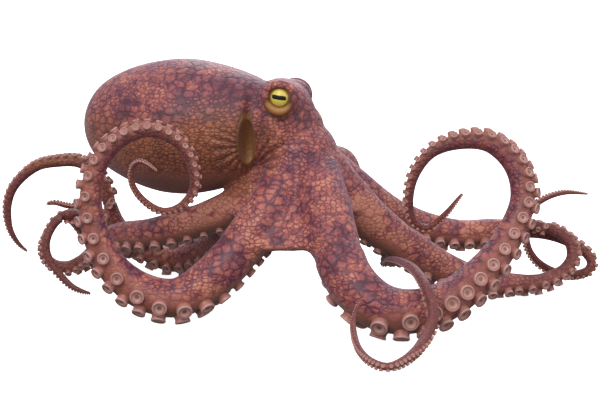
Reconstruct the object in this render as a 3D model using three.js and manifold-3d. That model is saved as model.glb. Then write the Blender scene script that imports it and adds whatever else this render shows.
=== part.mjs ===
// A common octopus, Octopus vulgaris, life size, standing on its eight arms.
// Millimetres, +Z up. The floor is the plane z = 0 while the parts are made, and the finished
// group is moved so that the origin is the middle of the animal's footprint.
// The head faces +X, turned a little towards -Y, so the animal's right side is towards -Y.

import * as THREE from 'three';
import { mergeVertices } from 'three/addons/utils/BufferGeometryUtils.js';
import Module from 'manifold-3d';

const wasm = await Module();
wasm.setup();

// ---------------------------------------------------------------- driving dimensions, mm

const GAP = 0.3;
const HEADING_DEG = -20;
const BEYOND = 2000;

const MANTLE = {
  length: 200,
  // how far its tip hangs below the level of the collar
  tiltDeg: 2.4,
  collar: [-41, 61, 188.5],
  lateralScale: 0.94,
  sides: 20,
  rings: 13,
  // share of the length from the tip, and the radius there
  profile: [[0, 0], [0.03, 20.5], [0.11, 42], [0.25, 58], [0.42, 68.3], [0.59, 71.2],
    [0.73, 67.5], [0.88, 59], [1, 49.5]],
  // share of the length from the tip, and how far the middle line rises there
  rise: [[0, 1], [0.2, 0.8], [0.45, -1.6], [0.75, -1.5], [1, -0.8]],
};
// The slit between mantle edge and neck, one on each side.
const SLIT = { forward: 2, up: -17, out: 44, radii: [8, 13, 29], detail: [10, 8] };

const HEAD = {
  core: { centre: [-19, 53, 190], radii: [37, 39, 48] },
  brow: { centre: [4, 50, 156], radii: [36, 42, 39] },
  split: { centre: [-6, 52], height: 156, radius: 50, sides: 14 },
  detail: [14, 10],
};
// The line through both eyes is turned less than the head.
const EYE = {
  centre: [-12.4, 51.2, 219.5],
  headingDeg: -9.5,
  // how far the line falls towards the left, as a share
  fall: 0.06,
  apart: 30,
  domeRadii: [19.5, 18, 17],
  ballRadius: 12.5,
  ballOut: 10,
  detail: [12, 8],
};
const CROWN = { centre: [2, 54, 126], radii: [46, 44, 34] };
const SIPHON = {
  base: [-27, 90, 130],
  direction: [-0.62, 0.7, -0.36],
  length: 46,
  rootRadius: 10,
  mouthRadius: 7,
  wall: 2,
  depth: 12,
  sides: 12,
};

// Suckers stand in two alternating rows. Their size follows the arm's radius where they grow.
const SUCKER = {
  sides: 5,
  // radius of the arm, and the rim's radius there
  rims: [[0, 0.4], [3, 1.4], [5, 2.4], [8, 4.1], [9.5, 4.7], [15.5, 6], [20, 7.9], [28, 9.2]],
  // radius of the arm, and how far the cup stands out from it there
  heights: [[0, 0.4], [3, 1.2], [5, 2.2], [7.5, 4], [10.5, 5], [20, 6.2]],
  // radius of the arm, and the angle of each row from the middle of the sucker side there
  rowAngles: [[0, 33], [8, 33], [12, 23]],
  stemShare: 0.75,
  dimpleShare: 0.6,
  sinkShare: 0.45,
  // between neighbours, as a share of the arm's radius and a fixed length
  spacing: { share: 1.62, fixed: 7.3 },
  firstLength: 58,
  // length along the arm, and the share of full size there: the suckers by the mouth are small
  growth: [[40, 0.35], [120, 0.62], [160, 0.9], [185, 1]],
};

// A thick length of arm has more sides than a thin one. Its rings stand a share of its radius
// and a fixed length apart.
const ARM_SIDES = { thick: 8, thin: 6, thinBelow: 12 };
const ARM_RINGS = { share: 0.8, fixed: 7 };
// How far the free arms are kept clear of the web, and over what length.
const ARM_CLEARANCE = { margin: 0.5, length: 30 };
const ARM_BEND_WINDOW = 28;
const ARM_ROLL_LENGTH = 60;

// Each arm: its radius at lengths along it, the lengths where it is parted (the first is where
// it leaves the web), where its suckers start to follow the outside of its bends, how far they
// turn towards -Y at lengths along it, and the points that its middle line passes.
const ARMS = {
  arm_right_1: {
    radii: [[0, 28], [192, 23], [354, 13.8], [490, 7.8], [519, 5.9], [633, 2.9], [665, 1.2]],
    parts: [104, 190, 275, 365, 455, 530, 600],
    outsideFrom: 190,
    facing: [[0, 0], [60, -0.2], [110, -0.4], [180, 0], [205, 1.1], [240, 1.5], [272, 2.3],
      [309, 3.2], [330, 3.8], [350, 3.2], [370, 2.3], [386, 1.6], [416, 0.6], [450, 0.3],
      [520, 0.1], [660, 0.1]],
    path: [[10, 40, 150], [24, -5, 116], [34, -40, 83], [50, -72, 51.5], [77, -85, 31],
      [109, -87, 27.5], [144, -78, 38], [178, -60, 62], [205, -40, 93], [218, -28, 128],
      [210, -20, 158.5], [185.5, -16, 179.5], [155, -14, 180.5], [129, -14, 170], [112.5, -14, 147],
      [108, -12, 120], [114, -6, 99], [127, -4, 93], [142, -8, 105], [161, -14, 130]],
  },
  arm_right_2: {
    radii: [[0, 28], [228, 18], [347, 10.2], [491, 5.1], [558, 3.4], [630, 2.1], [650, 1.1]],
    parts: [104, 190, 275, 365, 435, 505, 580],
    outsideFrom: 180,
    facing: [[0, 0], [60, -0.2], [135, -0.2], [160, 0], [175, 0.5], [190, 0.95], [226, 1.7],
      [254, 2.4], [279, 2.8], [302, 2.1], [339, 1.05], [362, 0.7], [392, 0.5], [480, 0.5],
      [520, 0.6], [660, 0.3]],
    path: [[-4, 40, 150], [-24, 10, 116], [-54, -10, 80], [-85, -23, 48], [-122, -29, 27],
      [-158, -30, 35], [-187, -30, 61], [-202, -30, 97], [-204, -30, 137], [-191, -28, 169],
      [-167, -26, 189], [-143, -24, 193], [-119, -22, 181], [-106, -20, 159], [-104.5, -18, 135],
      [-119, -16, 116], [-136, -16, 112], [-155, -18, 124], [-165, -22, 142], [-163, -26, 158],
      [-155, -30, 163], [-138, -34, 153.5]],
  },
  arm_right_3: {
    radii: [[0, 26], [84, 19.5], [232, 13.1], [397, 4], [411, 3.6], [486, 2.9], [499, 2.6],
      [509, 1.3]],
    parts: [92, 200, 300, 370, 435],
    outsideFrom: 320,
    facing: [[0, 0], [100, 0.2], [200, 0.4], [330, 0.4], [430, 0], [525, -0.1]],
    path: [[-8, 50, 148], [-39, 46, 123], [-75, 56, 100], [-116, 72, 83], [-158, 92, 69.5],
      [-196, 126, 60.5], [-215, 150, 47.5], [-232, 172, 30.5], [-248, 188, 17], [-265, 194, 10],
      [-280, 194, 13], [-289, 192, 23], [-291, 190, 35], [-287, 188, 46], [-281, 186, 57.5],
      [-272, 184, 67.5], [-261, 182, 71.5], [-247, 178, 73.5], [-240, 172, 79.5], [-246, 167, 83.5],
      [-260, 164, 86], [-272, 162, 89.5], [-282, 160, 88]],
  },
  arm_right_4: {
    radii: [[0, 26], [54, 22], [190, 17.5], [310, 8.8], [336, 7.9], [518, 4], [553, 2.2], [567, 1]],
    parts: [106, 215, 290, 350, 420, 490],
    outsideFrom: 240,
    facing: [[0, 0], [110, 0.4], [160, 1], [240, 1], [290, 0.3], [350, -0.1], [560, -0.15]],
    path: [[-8, 70, 140], [-40, 95, 104], [-77, 135, 63], [-113, 180, 29], [-151, 206, 17],
      [-184, 212, 31], [-208, 209, 57], [-217, 208, 81], [-223.5, 206, 104], [-239, 206, 123],
      [-253, 206, 129.5], [-276, 206, 129], [-296, 206, 125], [-313, 206, 113.5], [-326, 206, 98.5],
      [-332, 206, 82], [-333, 206, 66.5], [-330, 206, 49.5], [-321, 206, 34], [-311, 206, 25]],
  },
  arm_left_1: {
    radii: [[0, 27], [235, 13], [259, 10.1], [309, 8.1], [325, 6.8], [397, 5.9], [410, 5.5],
      [422, 4.5], [436, 3.3], [451, 1.3]],
    parts: [84, 180, 285, 370],
    outsideFrom: 230,
    facing: [[0, 0], [60, -0.1], [120, -0.1], [185, 0.2], [215, 0.6], [280, 0.5], [340, 0.15],
      [430, 0]],
    path: [[19, 50, 148], [46, 44, 118], [75, 48, 89], [115, 58, 59], [158, 72, 33], [203, 84, 16],
      [225, 92, 15], [242, 95, 13.5], [258, 99, 14], [273, 105, 18], [286, 112, 24],
      [295, 119, 33.5], [297, 124, 41.5], [295, 128, 50.5], [287, 131, 58.5], [276, 134, 64.5],
      [264, 138, 67], [252, 140, 70.5], [245, 145, 79], [243, 151, 91], [246, 158, 103.5]],
  },
  arm_left_2: {
    radii: [[0, 26], [102, 18.5], [240, 13.3], [286, 8.4], [322, 6.6], [385, 4.5], [476, 3.5],
      [514, 3.4], [549, 2.5], [577, 0.8]],
    parts: [92, 200, 290, 370, 440, 510],
    outsideFrom: 240,
    facing: [[0, 0], [120, 0.55], [220, 0.5], [300, 0.15], [590, 0]],
    path: [[19, 65, 146], [53, 85, 120], [91, 112, 91], [131, 138, 69], [177, 156, 57],
      [211, 158, 59], [235, 158, 60.5], [257, 156, 59.5], [275, 155, 56.5], [291, 154, 51],
      [306, 153, 43], [318, 152, 34], [323, 150, 25], [320, 148, 17], [309, 147, 12.5],
      [294, 145, 12], [277, 142, 17.5], [260, 136, 29.5], [250, 130, 44], [246, 124, 59.5],
      [246, 119, 78], [253, 116, 94], [266, 116, 103], [285, 116, 108.5], [312, 118, 106.5]],
  },
  arm_left_3: {
    radii: [[0, 24], [35, 18.6], [174, 14], [287, 7], [312, 4.8], [333, 3.4], [352, 2.5],
      [374, 2.4], [437, 3.5], [553, 5.2], [723, 2.2], [743, 0.9]],
    parts: [96, 180, 250, 330, 420, 510, 580, 640, 695],
    outsideFrom: 540,
    facing: [[0, 0], [100, 0.2], [250, 0.2], [540, 0.1], [600, 0.3], [775, 0.1]],
    path: [[13, 75, 141], [24, 108, 142], [44.5, 140, 137], [59, 171, 104], [84, 196, 66],
      [110, 186, 44], [112, 150, 38], [102, 112, 38], [92, 90, 42], [88, 69, 44], [88, 50, 44.5],
      [90, 30, 53.5], [96, 5, 58.5], [103, -30, 62.5], [110, -65, 64], [115, -90, 60.5],
      [119, -109, 53.5], [123, -121, 41], [122, -133, 29.5], [115, -149, 19.5], [105, -169, 12],
      [91, -186, 6], [77, -196, 4], [64, -187, 6], [54, -168, 11.5], [50, -145, 19.5],
      [50, -126, 29.5], [56, -113, 44]],
  },
  arm_left_4: {
    radii: [[0, 24], [104, 18.5], [229, 14.5], [340, 9.4], [431, 7.1], [457, 7], [476, 5.1],
      [488, 4.5], [528, 4.3], [561, 3.1], [574, 2.3], [587, 1]],
    parts: [100, 205, 300, 375, 450, 520],
    outsideFrom: 440,
    facing: [[0, 0], [100, 0.2], [300, 0.2], [420, 0], [470, -1.2], [590, -0.8]],
    path: [[0, 75, 139], [-11, 120, 127], [-35, 165, 103], [-74, 205, 68], [-114, 236, 39],
      [-150, 249, 27], [-183, 245, 24], [-214, 228, 31], [-235, 190, 50], [-243, 153, 71],
      [-247, 130, 82], [-255, 122, 82], [-262, 120, 78.5], [-269, 118, 69.5], [-274, 114, 57],
      [-274, 112, 44], [-269, 110, 33], [-259, 107, 20], [-247, 103, 9], [-236, 99, 4.5],
      [-224, 94, 2.5]],
  },
};

// The skin of the web between neighbouring arms: how far it reaches along them, and how much
// of that its free edge is scooped back in the middle.
const WEBS = [
  { between: ['arm_right_1', 'arm_right_2'], reach: 122, scoop: 0.01 },
  { between: ['arm_right_2', 'arm_right_3'], reach: 92, scoop: 0.14 },
  { between: ['arm_right_3', 'arm_right_4'], reach: 90, scoop: 0.16 },
  { between: ['arm_right_4', 'arm_left_4'], reach: 96, scoop: 0.14 },
  { between: ['arm_left_4', 'arm_left_3'], reach: 92, scoop: 0.2 },
  { between: ['arm_left_3', 'arm_left_2'], reach: 84, scoop: 0.1 },
  { between: ['arm_left_2', 'arm_left_1'], reach: 84, scoop: 0.06 },
  { between: ['arm_left_1', 'arm_right_1'], reach: 79, scoop: 0.18 },
];
const WEB_START = 12;
const WEB_THICK_ROOT = 26;
const WEB_THICK_EDGE = 9;
// Share of the arm's radius by which the web's free edge lies towards the arm's upper side.
const WEB_RISE = 0.4;
const WEB_DETAIL = [3, 4];

const COLOURS = {
  mantle: 0x9a6156,
  head: 0x97605a,
  web: 0x9a6256,
  siphon: 0x8a5c42,
  eye: 0xd2bb32,
  arm: 0x99605a,
};

// ---------------------------------------------------------------- helpers

const vector = (values) => new THREE.Vector3(...values);

const forward = new THREE.Vector3(1, 0, 0)
  .applyAxisAngle(new THREE.Vector3(0, 0, 1), THREE.MathUtils.degToRad(HEADING_DEG));
const up = new THREE.Vector3(0, 0, 1);
const left = new THREE.Vector3().crossVectors(up, forward);
const eyeLine = new THREE.Vector3(0, 1, -EYE.fall)
  .applyAxisAngle(up, THREE.MathUtils.degToRad(EYE.headingDeg));

// The value at a place between listed pairs of place and value.
function between(pairs, place) {
  const next = pairs.findIndex(([at]) => at > place);
  if (next === -1) return pairs.at(-1)[1];
  if (next === 0) return pairs[0][1];
  const [fromPlace, fromValue] = pairs[next - 1];
  const [toPlace, toValue] = pairs[next];
  return THREE.MathUtils.mapLinear(place, fromPlace, toPlace, fromValue, toValue);
}

function solidFrom(geometry) {
  const bare = geometry.index ? geometry.clone() : mergeVertices(geometry);
  bare.deleteAttribute('normal');
  bare.deleteAttribute('uv');
  const merged = mergeVertices(bare, 1e-4);
  const triVerts = [];
  const index = merged.index.array;
  for (let corner = 0; corner < index.length; corner += 3) {
    const [a, b, c] = index.slice(corner, corner + 3);
    if (a !== b && b !== c && c !== a) triVerts.push(a, b, c);
  }
  return new wasm.Manifold(new wasm.Mesh({
    numProp: 3,
    vertProperties: Float32Array.from(merged.attributes.position.array),
    triVerts: Uint32Array.from(triVerts),
  }));
}

// The largest closed surface of a solid, as a geometry.
function geometryFrom(solid) {
  const pieces = solid.decompose();
  const largest = pieces.reduce((best, piece) => (piece.volume() > best.volume() ? piece : best));
  const mesh = largest.getMesh();
  const geometry = new THREE.BufferGeometry();
  geometry.setAttribute('position', new THREE.BufferAttribute(mesh.vertProperties, 3));
  geometry.setIndex(new THREE.BufferAttribute(mesh.triVerts, 1));
  geometry.computeVertexNormals();
  return geometry;
}

const joined = (solids) => solids.reduce((sum, solid) => sum.add(solid));

// A ball stretched along the heading, to the side and upwards.
function ellipsoid(centre, radii, detail) {
  const geometry = new THREE.SphereGeometry(1, detail[0], detail[1]);
  geometry.rotateX(Math.PI / 2);
  geometry.scale(...radii);
  geometry.rotateZ(THREE.MathUtils.degToRad(HEADING_DEG));
  geometry.translate(...centre);
  return solidFrom(geometry);
}

// ---------------------------------------------------------------- arms

// Point, direction, sucker side and radius of an arm at a length along it.
function armFrame(arm, length) {
  const total = arm.curve.getLength();
  const at = (value) => THREE.MathUtils.clamp(value / total, 0, 1);
  const point = arm.curve.getPointAt(at(length));
  const tangent = arm.curve.getTangentAt(at(length));
  const outside = arm.curve.getTangentAt(at(length - ARM_BEND_WINDOW))
    .sub(arm.curve.getTangentAt(at(length + ARM_BEND_WINDOW)));
  const roll = THREE.MathUtils.smoothstep(length, arm.outsideFrom, arm.outsideFrom + ARM_ROLL_LENGTH);
  const sucker = new THREE.Vector3(0, 0, -1).lerp(outside.normalize(), roll);
  sucker.addScaledVector(tangent, -sucker.dot(tangent)).normalize();
  sucker.y -= between(arm.facing, length);
  sucker.addScaledVector(tangent, -sucker.dot(tangent)).normalize();
  const side = new THREE.Vector3().crossVectors(tangent, sucker);
  return { point, tangent, sucker, side, radius: between(arm.radii, length) };
}

// A tapering tube along an arm between two lengths, grown by a margin.
function armTube(arm, from, to, margin = 0) {
  const middle = between(arm.radii, (from + to) / 2);
  const sides = middle < ARM_SIDES.thinBelow ? ARM_SIDES.thin : ARM_SIDES.thick;
  const ringStep = ARM_RINGS.share * middle + ARM_RINGS.fixed;
  const rings = Math.max(3, Math.round((to - from) / ringStep));
  const geometry = new THREE.CylinderGeometry(1, 1, 1, sides, rings);
  const position = geometry.attributes.position;
  for (let i = 0; i < position.count; i += 1) {
    const along = position.getY(i) + 0.5;
    const frame = armFrame(arm, THREE.MathUtils.lerp(from, to, along));
    const radius = frame.radius + margin;
    const place = frame.point
      .addScaledVector(frame.side, radius * position.getX(i))
      .addScaledVector(frame.sucker, radius * position.getZ(i));
    position.setXYZ(i, ...place);
  }
  return solidFrom(geometry);
}

// A cup on a short stem, on one side of the arm's sucker side.
function suckerSolid(arm, length, row) {
  const frame = armFrame(arm, length);
  const grown = between(SUCKER.growth, length);
  const rim = grown * between(SUCKER.rims, frame.radius);
  const height = grown * between(SUCKER.heights, frame.radius);
  const outline = [
    [0, -SUCKER.sinkShare * frame.radius],
    [SUCKER.stemShare * rim, -SUCKER.sinkShare * frame.radius],
    [rim, height],
    [0, height * SUCKER.dimpleShare],
  ];
  const geometry = new THREE.LatheGeometry(
    outline.map((pair) => new THREE.Vector2(...pair)),
    SUCKER.sides,
  );
  const angle = row * THREE.MathUtils.degToRad(between(SUCKER.rowAngles, frame.radius));
  const direction = frame.sucker.clone().applyAxisAngle(frame.tangent, angle);
  geometry.applyQuaternion(new THREE.Quaternion().setFromUnitVectors(
    new THREE.Vector3(0, 1, 0),
    direction,
  ));
  geometry.translate(...frame.point.addScaledVector(direction, frame.radius));
  return solidFrom(geometry);
}

// The suckers of one length of an arm, spread evenly and clear of its ends.
function suckersBetween(arm, from, to) {
  const radius = between(arm.radii, (from + to) / 2);
  const step = SUCKER.spacing.share * radius + SUCKER.spacing.fixed;
  const count = Math.max(1, Math.round((to - from) / step));
  return Array.from({ length: count }, (_, i) => suckerSolid(
    arm,
    from + ((i + 0.5) * (to - from)) / count,
    i % 2 === 0 ? 1 : -1,
  ));
}

for (const arm of Object.values(ARMS)) {
  arm.curve = new THREE.CatmullRomCurve3(arm.path.map(vector), false, 'centripetal');
  arm.curve.arcLengthDivisions = 600;
}

// ---------------------------------------------------------------- mantle

const mantleTurn = new THREE.Matrix4()
  .makeRotationAxis(left, THREE.MathUtils.degToRad(-MANTLE.tiltDeg))
  .multiply(new THREE.Matrix4().makeBasis(left.clone().negate(), forward, up));

function mantleSolid(margin = 0) {
  const profile = new THREE.SplineCurve(
    MANTLE.profile.map(([share, radius]) => new THREE.Vector2(radius, share * MANTLE.length)),
  );
  const outline = profile.getPoints(MANTLE.rings).map((spot) => new THREE.Vector2(
    spot.x > 0 ? spot.x + margin : 0,
    spot.y - MANTLE.length + margin * (spot.x > 0 ? 1 : -1),
  ));
  outline.at(0).x = 0;
  outline.push(new THREE.Vector2(0, margin));
  const geometry = new THREE.LatheGeometry(outline, MANTLE.sides);
  geometry.scale(MANTLE.lateralScale, 1, 1);
  const position = geometry.attributes.position;
  for (let i = 0; i < position.count; i += 1) {
    const share = 1 + position.getY(i) / MANTLE.length;
    position.setZ(i, position.getZ(i) + between(MANTLE.rise, share));
  }
  geometry.applyMatrix4(mantleTurn);
  geometry.translate(...MANTLE.collar);
  return solidFrom(geometry);
}

function slitSolid(sideSign) {
  const centre = vector(MANTLE.collar)
    .addScaledVector(forward, SLIT.forward)
    .addScaledVector(up, SLIT.up)
    .addScaledVector(left, sideSign * SLIT.out);
  return ellipsoid([...centre], SLIT.radii, SLIT.detail);
}

// ---------------------------------------------------------------- head, eyes and siphon

function eyeCentre(sideSign, outward = 0) {
  return vector(EYE.centre).addScaledVector(eyeLine, sideSign * (EYE.apart + outward));
}

function eyeSolid(sideSign, margin = 0) {
  const geometry = new THREE.SphereGeometry(EYE.ballRadius + margin, ...EYE.detail);
  geometry.rotateX(Math.PI / 2);
  geometry.translate(...eyeCentre(sideSign, EYE.ballOut));
  return solidFrom(geometry);
}

function siphonSolid(margin = 0) {
  const { length, rootRadius, mouthRadius, wall, depth } = SIPHON;
  const outline = [
    [0, -margin],
    [rootRadius + margin, -margin],
    [rootRadius * 0.9 + margin, length * 0.5],
    [mouthRadius + margin, length + margin],
  ];
  if (margin === 0) {
    outline.push([mouthRadius - wall, length], [mouthRadius - wall, length - depth]);
    outline.push([0, length - depth]);
  } else {
    outline.push([0, length + margin]);
  }
  const points = outline.map((pair) => new THREE.Vector2(...pair));
  const geometry = new THREE.LatheGeometry(points, SIPHON.sides);
  const turn = new THREE.Quaternion()
    .setFromUnitVectors(new THREE.Vector3(0, 1, 0), vector(SIPHON.direction).normalize());
  geometry.applyQuaternion(turn);
  geometry.translate(...SIPHON.base);
  return solidFrom(geometry);
}

// ---------------------------------------------------------------- web

function webSkin({ between: names, reach, scoop }) {
  const [first, second] = names.map((name) => ARMS[name]);
  const geometry = new THREE.BoxGeometry(1, 1, 1, WEB_DETAIL[0], WEB_DETAIL[1], 1);
  const position = geometry.attributes.position;
  for (let i = 0; i < position.count; i += 1) {
    const across = position.getX(i) + 0.5;
    const along = position.getY(i) + 0.5;
    const edge = reach * (1 - scoop * Math.sin(Math.PI * across));
    const length = THREE.MathUtils.lerp(WEB_START, edge, along);
    const a = armFrame(first, length);
    const b = armFrame(second, length);
    const thickness = THREE.MathUtils.lerp(WEB_THICK_ROOT, WEB_THICK_EDGE, along);
    const spread = b.point.clone().sub(a.point);
    const run = a.tangent.clone().add(b.tangent);
    const through = new THREE.Vector3().crossVectors(spread, run).normalize();
    const rise = WEB_RISE * along;
    a.point.addScaledVector(a.sucker, -rise * a.radius);
    b.point.addScaledVector(b.sucker, -rise * b.radius);
    const place = a.point.lerp(b.point, across)
      .addScaledVector(through, thickness * position.getZ(i));
    position.setXYZ(i, ...place);
  }
  return solidFrom(geometry);
}

// ---------------------------------------------------------------- the nodes

const group = new THREE.Group();

function addNode(name, solid, colour, roughness = 0.45) {
  const material = new THREE.MeshStandardMaterial({ color: colour, roughness, metalness: 0 });
  const mesh = new THREE.Mesh(geometryFrom(solid), material);
  mesh.name = name;
  group.add(mesh);
}

const above = (height) => solidFrom(
  new THREE.BoxGeometry(BEYOND, BEYOND, BEYOND).translate(0, 0, BEYOND / 2 + height),
);

// The space of the head: an upright cylinder above the split height, grown by a margin.
function headSpace(margin = 0) {
  const { centre, height, radius, sides } = HEAD.split;
  const geometry = new THREE.CylinderGeometry(radius + margin, radius + margin, BEYOND, sides);
  geometry.rotateX(Math.PI / 2);
  geometry.translate(...centre, BEYOND / 2 + height - margin);
  return solidFrom(geometry);
}

const slits = joined([slitSolid(1), slitSolid(-1)]);
addNode('mantle', mantleSolid().subtract(slits), COLOURS.mantle);

const armRoots = Object.values(ARMS).map((arm) => armTube(arm, 0, arm.parts[0]));
const webSuckers = Object.values(ARMS).flatMap(
  (arm) => suckersBetween(arm, SUCKER.firstLength, arm.parts[0]),
);
const eyeDomes = [1, -1].map(
  (sign) => ellipsoid([...eyeCentre(sign)], EYE.domeRadii, EYE.detail),
);
const hollows = joined([
  eyeSolid(1, GAP),
  eyeSolid(-1, GAP),
  siphonSolid(GAP),
  mantleSolid(GAP),
  slits,
]);
const armStarts = joined(Object.values(ARMS).map((arm) => {
  const from = arm.parts[0];
  return armTube(arm, from, from + ARM_CLEARANCE.length, ARM_CLEARANCE.margin);
}));
const body = joined([
  ellipsoid(HEAD.core.centre, HEAD.core.radii, HEAD.detail),
  ellipsoid(HEAD.brow.centre, HEAD.brow.radii, HEAD.detail),
  ellipsoid(CROWN.centre, CROWN.radii, HEAD.detail),
  ...eyeDomes,
  ...armRoots,
  ...WEBS.map(webSkin),
  ...webSuckers,
]).subtract(hollows).subtract(armStarts);

addNode('head', body.intersect(headSpace()), COLOURS.head);
addNode('web', body.subtract(headSpace(GAP)), COLOURS.web);
addNode('eye_left', eyeSolid(1), COLOURS.eye, 0.15);
addNode('eye_right', eyeSolid(-1), COLOURS.eye, 0.15);
addNode('siphon', siphonSolid(), COLOURS.siphon);

const overFloor = above(0);
for (const [name, arm] of Object.entries(ARMS)) {
  const total = arm.curve.getLength();
  arm.parts.forEach((from, i) => {
    const to = arm.parts[i + 1] ?? total;
    const flesh = joined([armTube(arm, from + GAP, to), ...suckersBetween(arm, from, to)]);
    addNode(`${name}_length_${i + 1}`, flesh.intersect(overFloor), COLOURS.arm);
  });
}

const bounds = new THREE.Box3().setFromObject(group);
const middle = bounds.getCenter(new THREE.Vector3());
group.position.set(-middle.x, -middle.y, -bounds.min.z);

export default group;
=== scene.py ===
"""A life-size common octopus: skin, suckers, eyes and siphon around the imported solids.

Names that end in _mm, and every point of an arm's path, are in millimetres in the maker's frame,
whose floor is z = 0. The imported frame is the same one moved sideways, and metres are Blender's.
"""

import json
import logging
import math
from collections.abc import Callable
from dataclasses import dataclass
from enum import Enum
from functools import partial

import bmesh
import bpy
import numpy as np
from mathutils import Matrix, Vector
from mathutils.kdtree import KDTree


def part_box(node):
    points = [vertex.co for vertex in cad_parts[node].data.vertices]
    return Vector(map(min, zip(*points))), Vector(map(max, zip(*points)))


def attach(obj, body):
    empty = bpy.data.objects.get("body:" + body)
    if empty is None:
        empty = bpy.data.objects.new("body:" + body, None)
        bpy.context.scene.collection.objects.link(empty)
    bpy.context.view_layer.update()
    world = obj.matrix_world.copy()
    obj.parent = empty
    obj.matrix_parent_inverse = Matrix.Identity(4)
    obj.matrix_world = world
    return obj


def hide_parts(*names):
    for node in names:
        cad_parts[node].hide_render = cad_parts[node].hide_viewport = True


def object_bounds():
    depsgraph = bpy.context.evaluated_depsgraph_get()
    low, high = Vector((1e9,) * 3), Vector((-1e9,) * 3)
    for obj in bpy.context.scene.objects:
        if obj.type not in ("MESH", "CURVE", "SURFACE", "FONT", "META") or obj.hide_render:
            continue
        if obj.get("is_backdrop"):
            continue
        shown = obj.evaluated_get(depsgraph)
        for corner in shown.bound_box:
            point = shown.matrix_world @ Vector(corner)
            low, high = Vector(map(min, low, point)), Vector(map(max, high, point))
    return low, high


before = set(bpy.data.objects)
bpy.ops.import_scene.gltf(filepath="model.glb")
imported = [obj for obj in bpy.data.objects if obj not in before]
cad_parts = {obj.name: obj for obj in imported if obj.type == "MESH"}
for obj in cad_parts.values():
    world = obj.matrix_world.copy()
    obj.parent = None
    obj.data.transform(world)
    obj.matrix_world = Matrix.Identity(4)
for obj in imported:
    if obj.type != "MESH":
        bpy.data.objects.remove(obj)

BMesh = bmesh.types.BMesh
Material = bpy.types.Material
Mesh = bpy.types.Mesh
Node = bpy.types.Node
Object = bpy.types.Object
Pair = tuple[float, float]
Point = tuple[float, float, float]
Table = tuple[tuple[float, float], ...]

CAD_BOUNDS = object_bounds()
LOG = logging.getLogger("octopus")

MM = 0.001
HEADING_DEG = -20.0
EYE_CENTRE_MM = (-12.4, 51.2, 219.5)
EYE_HEADING_DEG = -9.5
EYE_LINE_FALL = 0.06
EYE_APART_MM = 30.0
EYEBALL_OUT_MM = 10.0
MERGE = 1e-7

# what paint() stores on the skin, in the order that its finish reads
PAINTED = ("underside", "fine", "gold", "lid", "fold", "shade")

# settings that many nodes share, and the numbers of a Mix node's colour inputs
TIMES, TIMES_ADD, HIGHER, POWER = (
    {"operation": word} for word in ("MULTIPLY", "MULTIPLY_ADD", "MAXIMUM", "POWER")
)
SMOOTH = {"interpolation_type": "SMOOTHSTEP"}
COLOUR = {"data_type": "RGBA"}
BASE, OVER = 6, 7

UP = np.array((0.0, 0.0, 1.0))
FORWARD, EYE_FORWARD = (
    np.array((math.cos(math.radians(angle)), math.sin(math.radians(angle)), 0.0))
    for angle in (HEADING_DEG, EYE_HEADING_DEG)
)
LEFT = np.cross(UP, FORWARD)
EYE_LINE = np.cross(UP, EYE_FORWARD) - UP * EYE_LINE_FALL


class Side(Enum):
    """Side of the animal, as the sign of its distance along the left direction."""

    LEFT = 1
    RIGHT = -1


# ------------------------------------------------------------------ helpers


def linear(code: str) -> tuple[float, float, float, float]:
    """Turn an sRGB hex colour such as "#8a5a5a" into linear red, green, blue and alpha."""
    parts = [int(code[i:i + 2], 16) / 255 for i in (1, 3, 5)]
    light = [p / 12.92 if p <= 0.04045 else ((p + 0.055) / 1.055) ** 2.4 for p in parts]
    return (*light, 1.0)


def add_node(
    tree: bpy.types.NodeTree,
    kind: str,
    settings: dict[str, object] | None = None,
    inputs: dict[str | int, object] | tuple[object, ...] = (),
) -> Node:
    """Add a shader node with its settings, values and links.

    Args:
        tree: Node tree that takes the node.
        kind: Blender's name of the node type, without "ShaderNode".
        settings: Values by property name. The key "stops" holds the places and hex colours of
            a colour ramp.
        inputs: What each input gets, by its name or number or in their order: a value, a hex
            colour, a socket, or a node, which stands for its first output in use.

    Returns:
        The new node.
    """
    node = tree.nodes.new(f"ShaderNode{kind}")
    for key, value in (settings or {}).items():
        if key == "stops":
            elements = node.color_ramp.elements
            while len(elements) < len(value):
                elements.new(1.0)
            for element, (place, code) in zip(elements, value):
                element.position = place
                element.color = linear(code)
        else:
            setattr(node, key, value)
    for key, value in inputs.items() if isinstance(inputs, dict) else enumerate(inputs):
        if isinstance(value, Node):
            value = next(socket for socket in value.outputs if socket.enabled)
        if isinstance(value, bpy.types.NodeSocket):
            tree.links.new(value, node.inputs[key])
        else:
            node.inputs[key].default_value = linear(value) if isinstance(value, str) else value
    return node


def new_material(name: str) -> tuple[Material, Callable[..., Node]]:
    """Make an empty material.

    Args:
        name: Name of the finish.

    Returns:
        The material, and the call that adds nodes to it.
    """
    material = bpy.data.materials.new(name)
    material.use_nodes = True
    material.node_tree.nodes.clear()
    return material, partial(add_node, material.node_tree)


def smoothstep(value: np.ndarray, low: float, high: float) -> np.ndarray:
    """Ease from 0 at low to 1 at high."""
    share = np.clip((value - low) / (high - low), 0.0, 1.0)
    return share * share * (3.0 - 2.0 * share)


def circle(count: int) -> np.ndarray:
    """Angles of points spread evenly round a circle."""
    return np.linspace(0.0, 2 * math.pi, count, endpoint=False)


def unit(vectors: np.ndarray) -> np.ndarray:
    """Scale each vector to length one."""
    return vectors / np.maximum(np.linalg.norm(vectors, axis=-1, keepdims=True), 1e-9)


def packed_shift() -> np.ndarray:
    """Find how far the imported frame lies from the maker's frame.

    Returns:
        The shift in metres, measured on the right eyeball.
    """
    low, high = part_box("eye_right")
    eye = eye_point(Side.RIGHT, EYEBALL_OUT_MM)
    return np.array((low + high) / 2) - eye * MM


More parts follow.
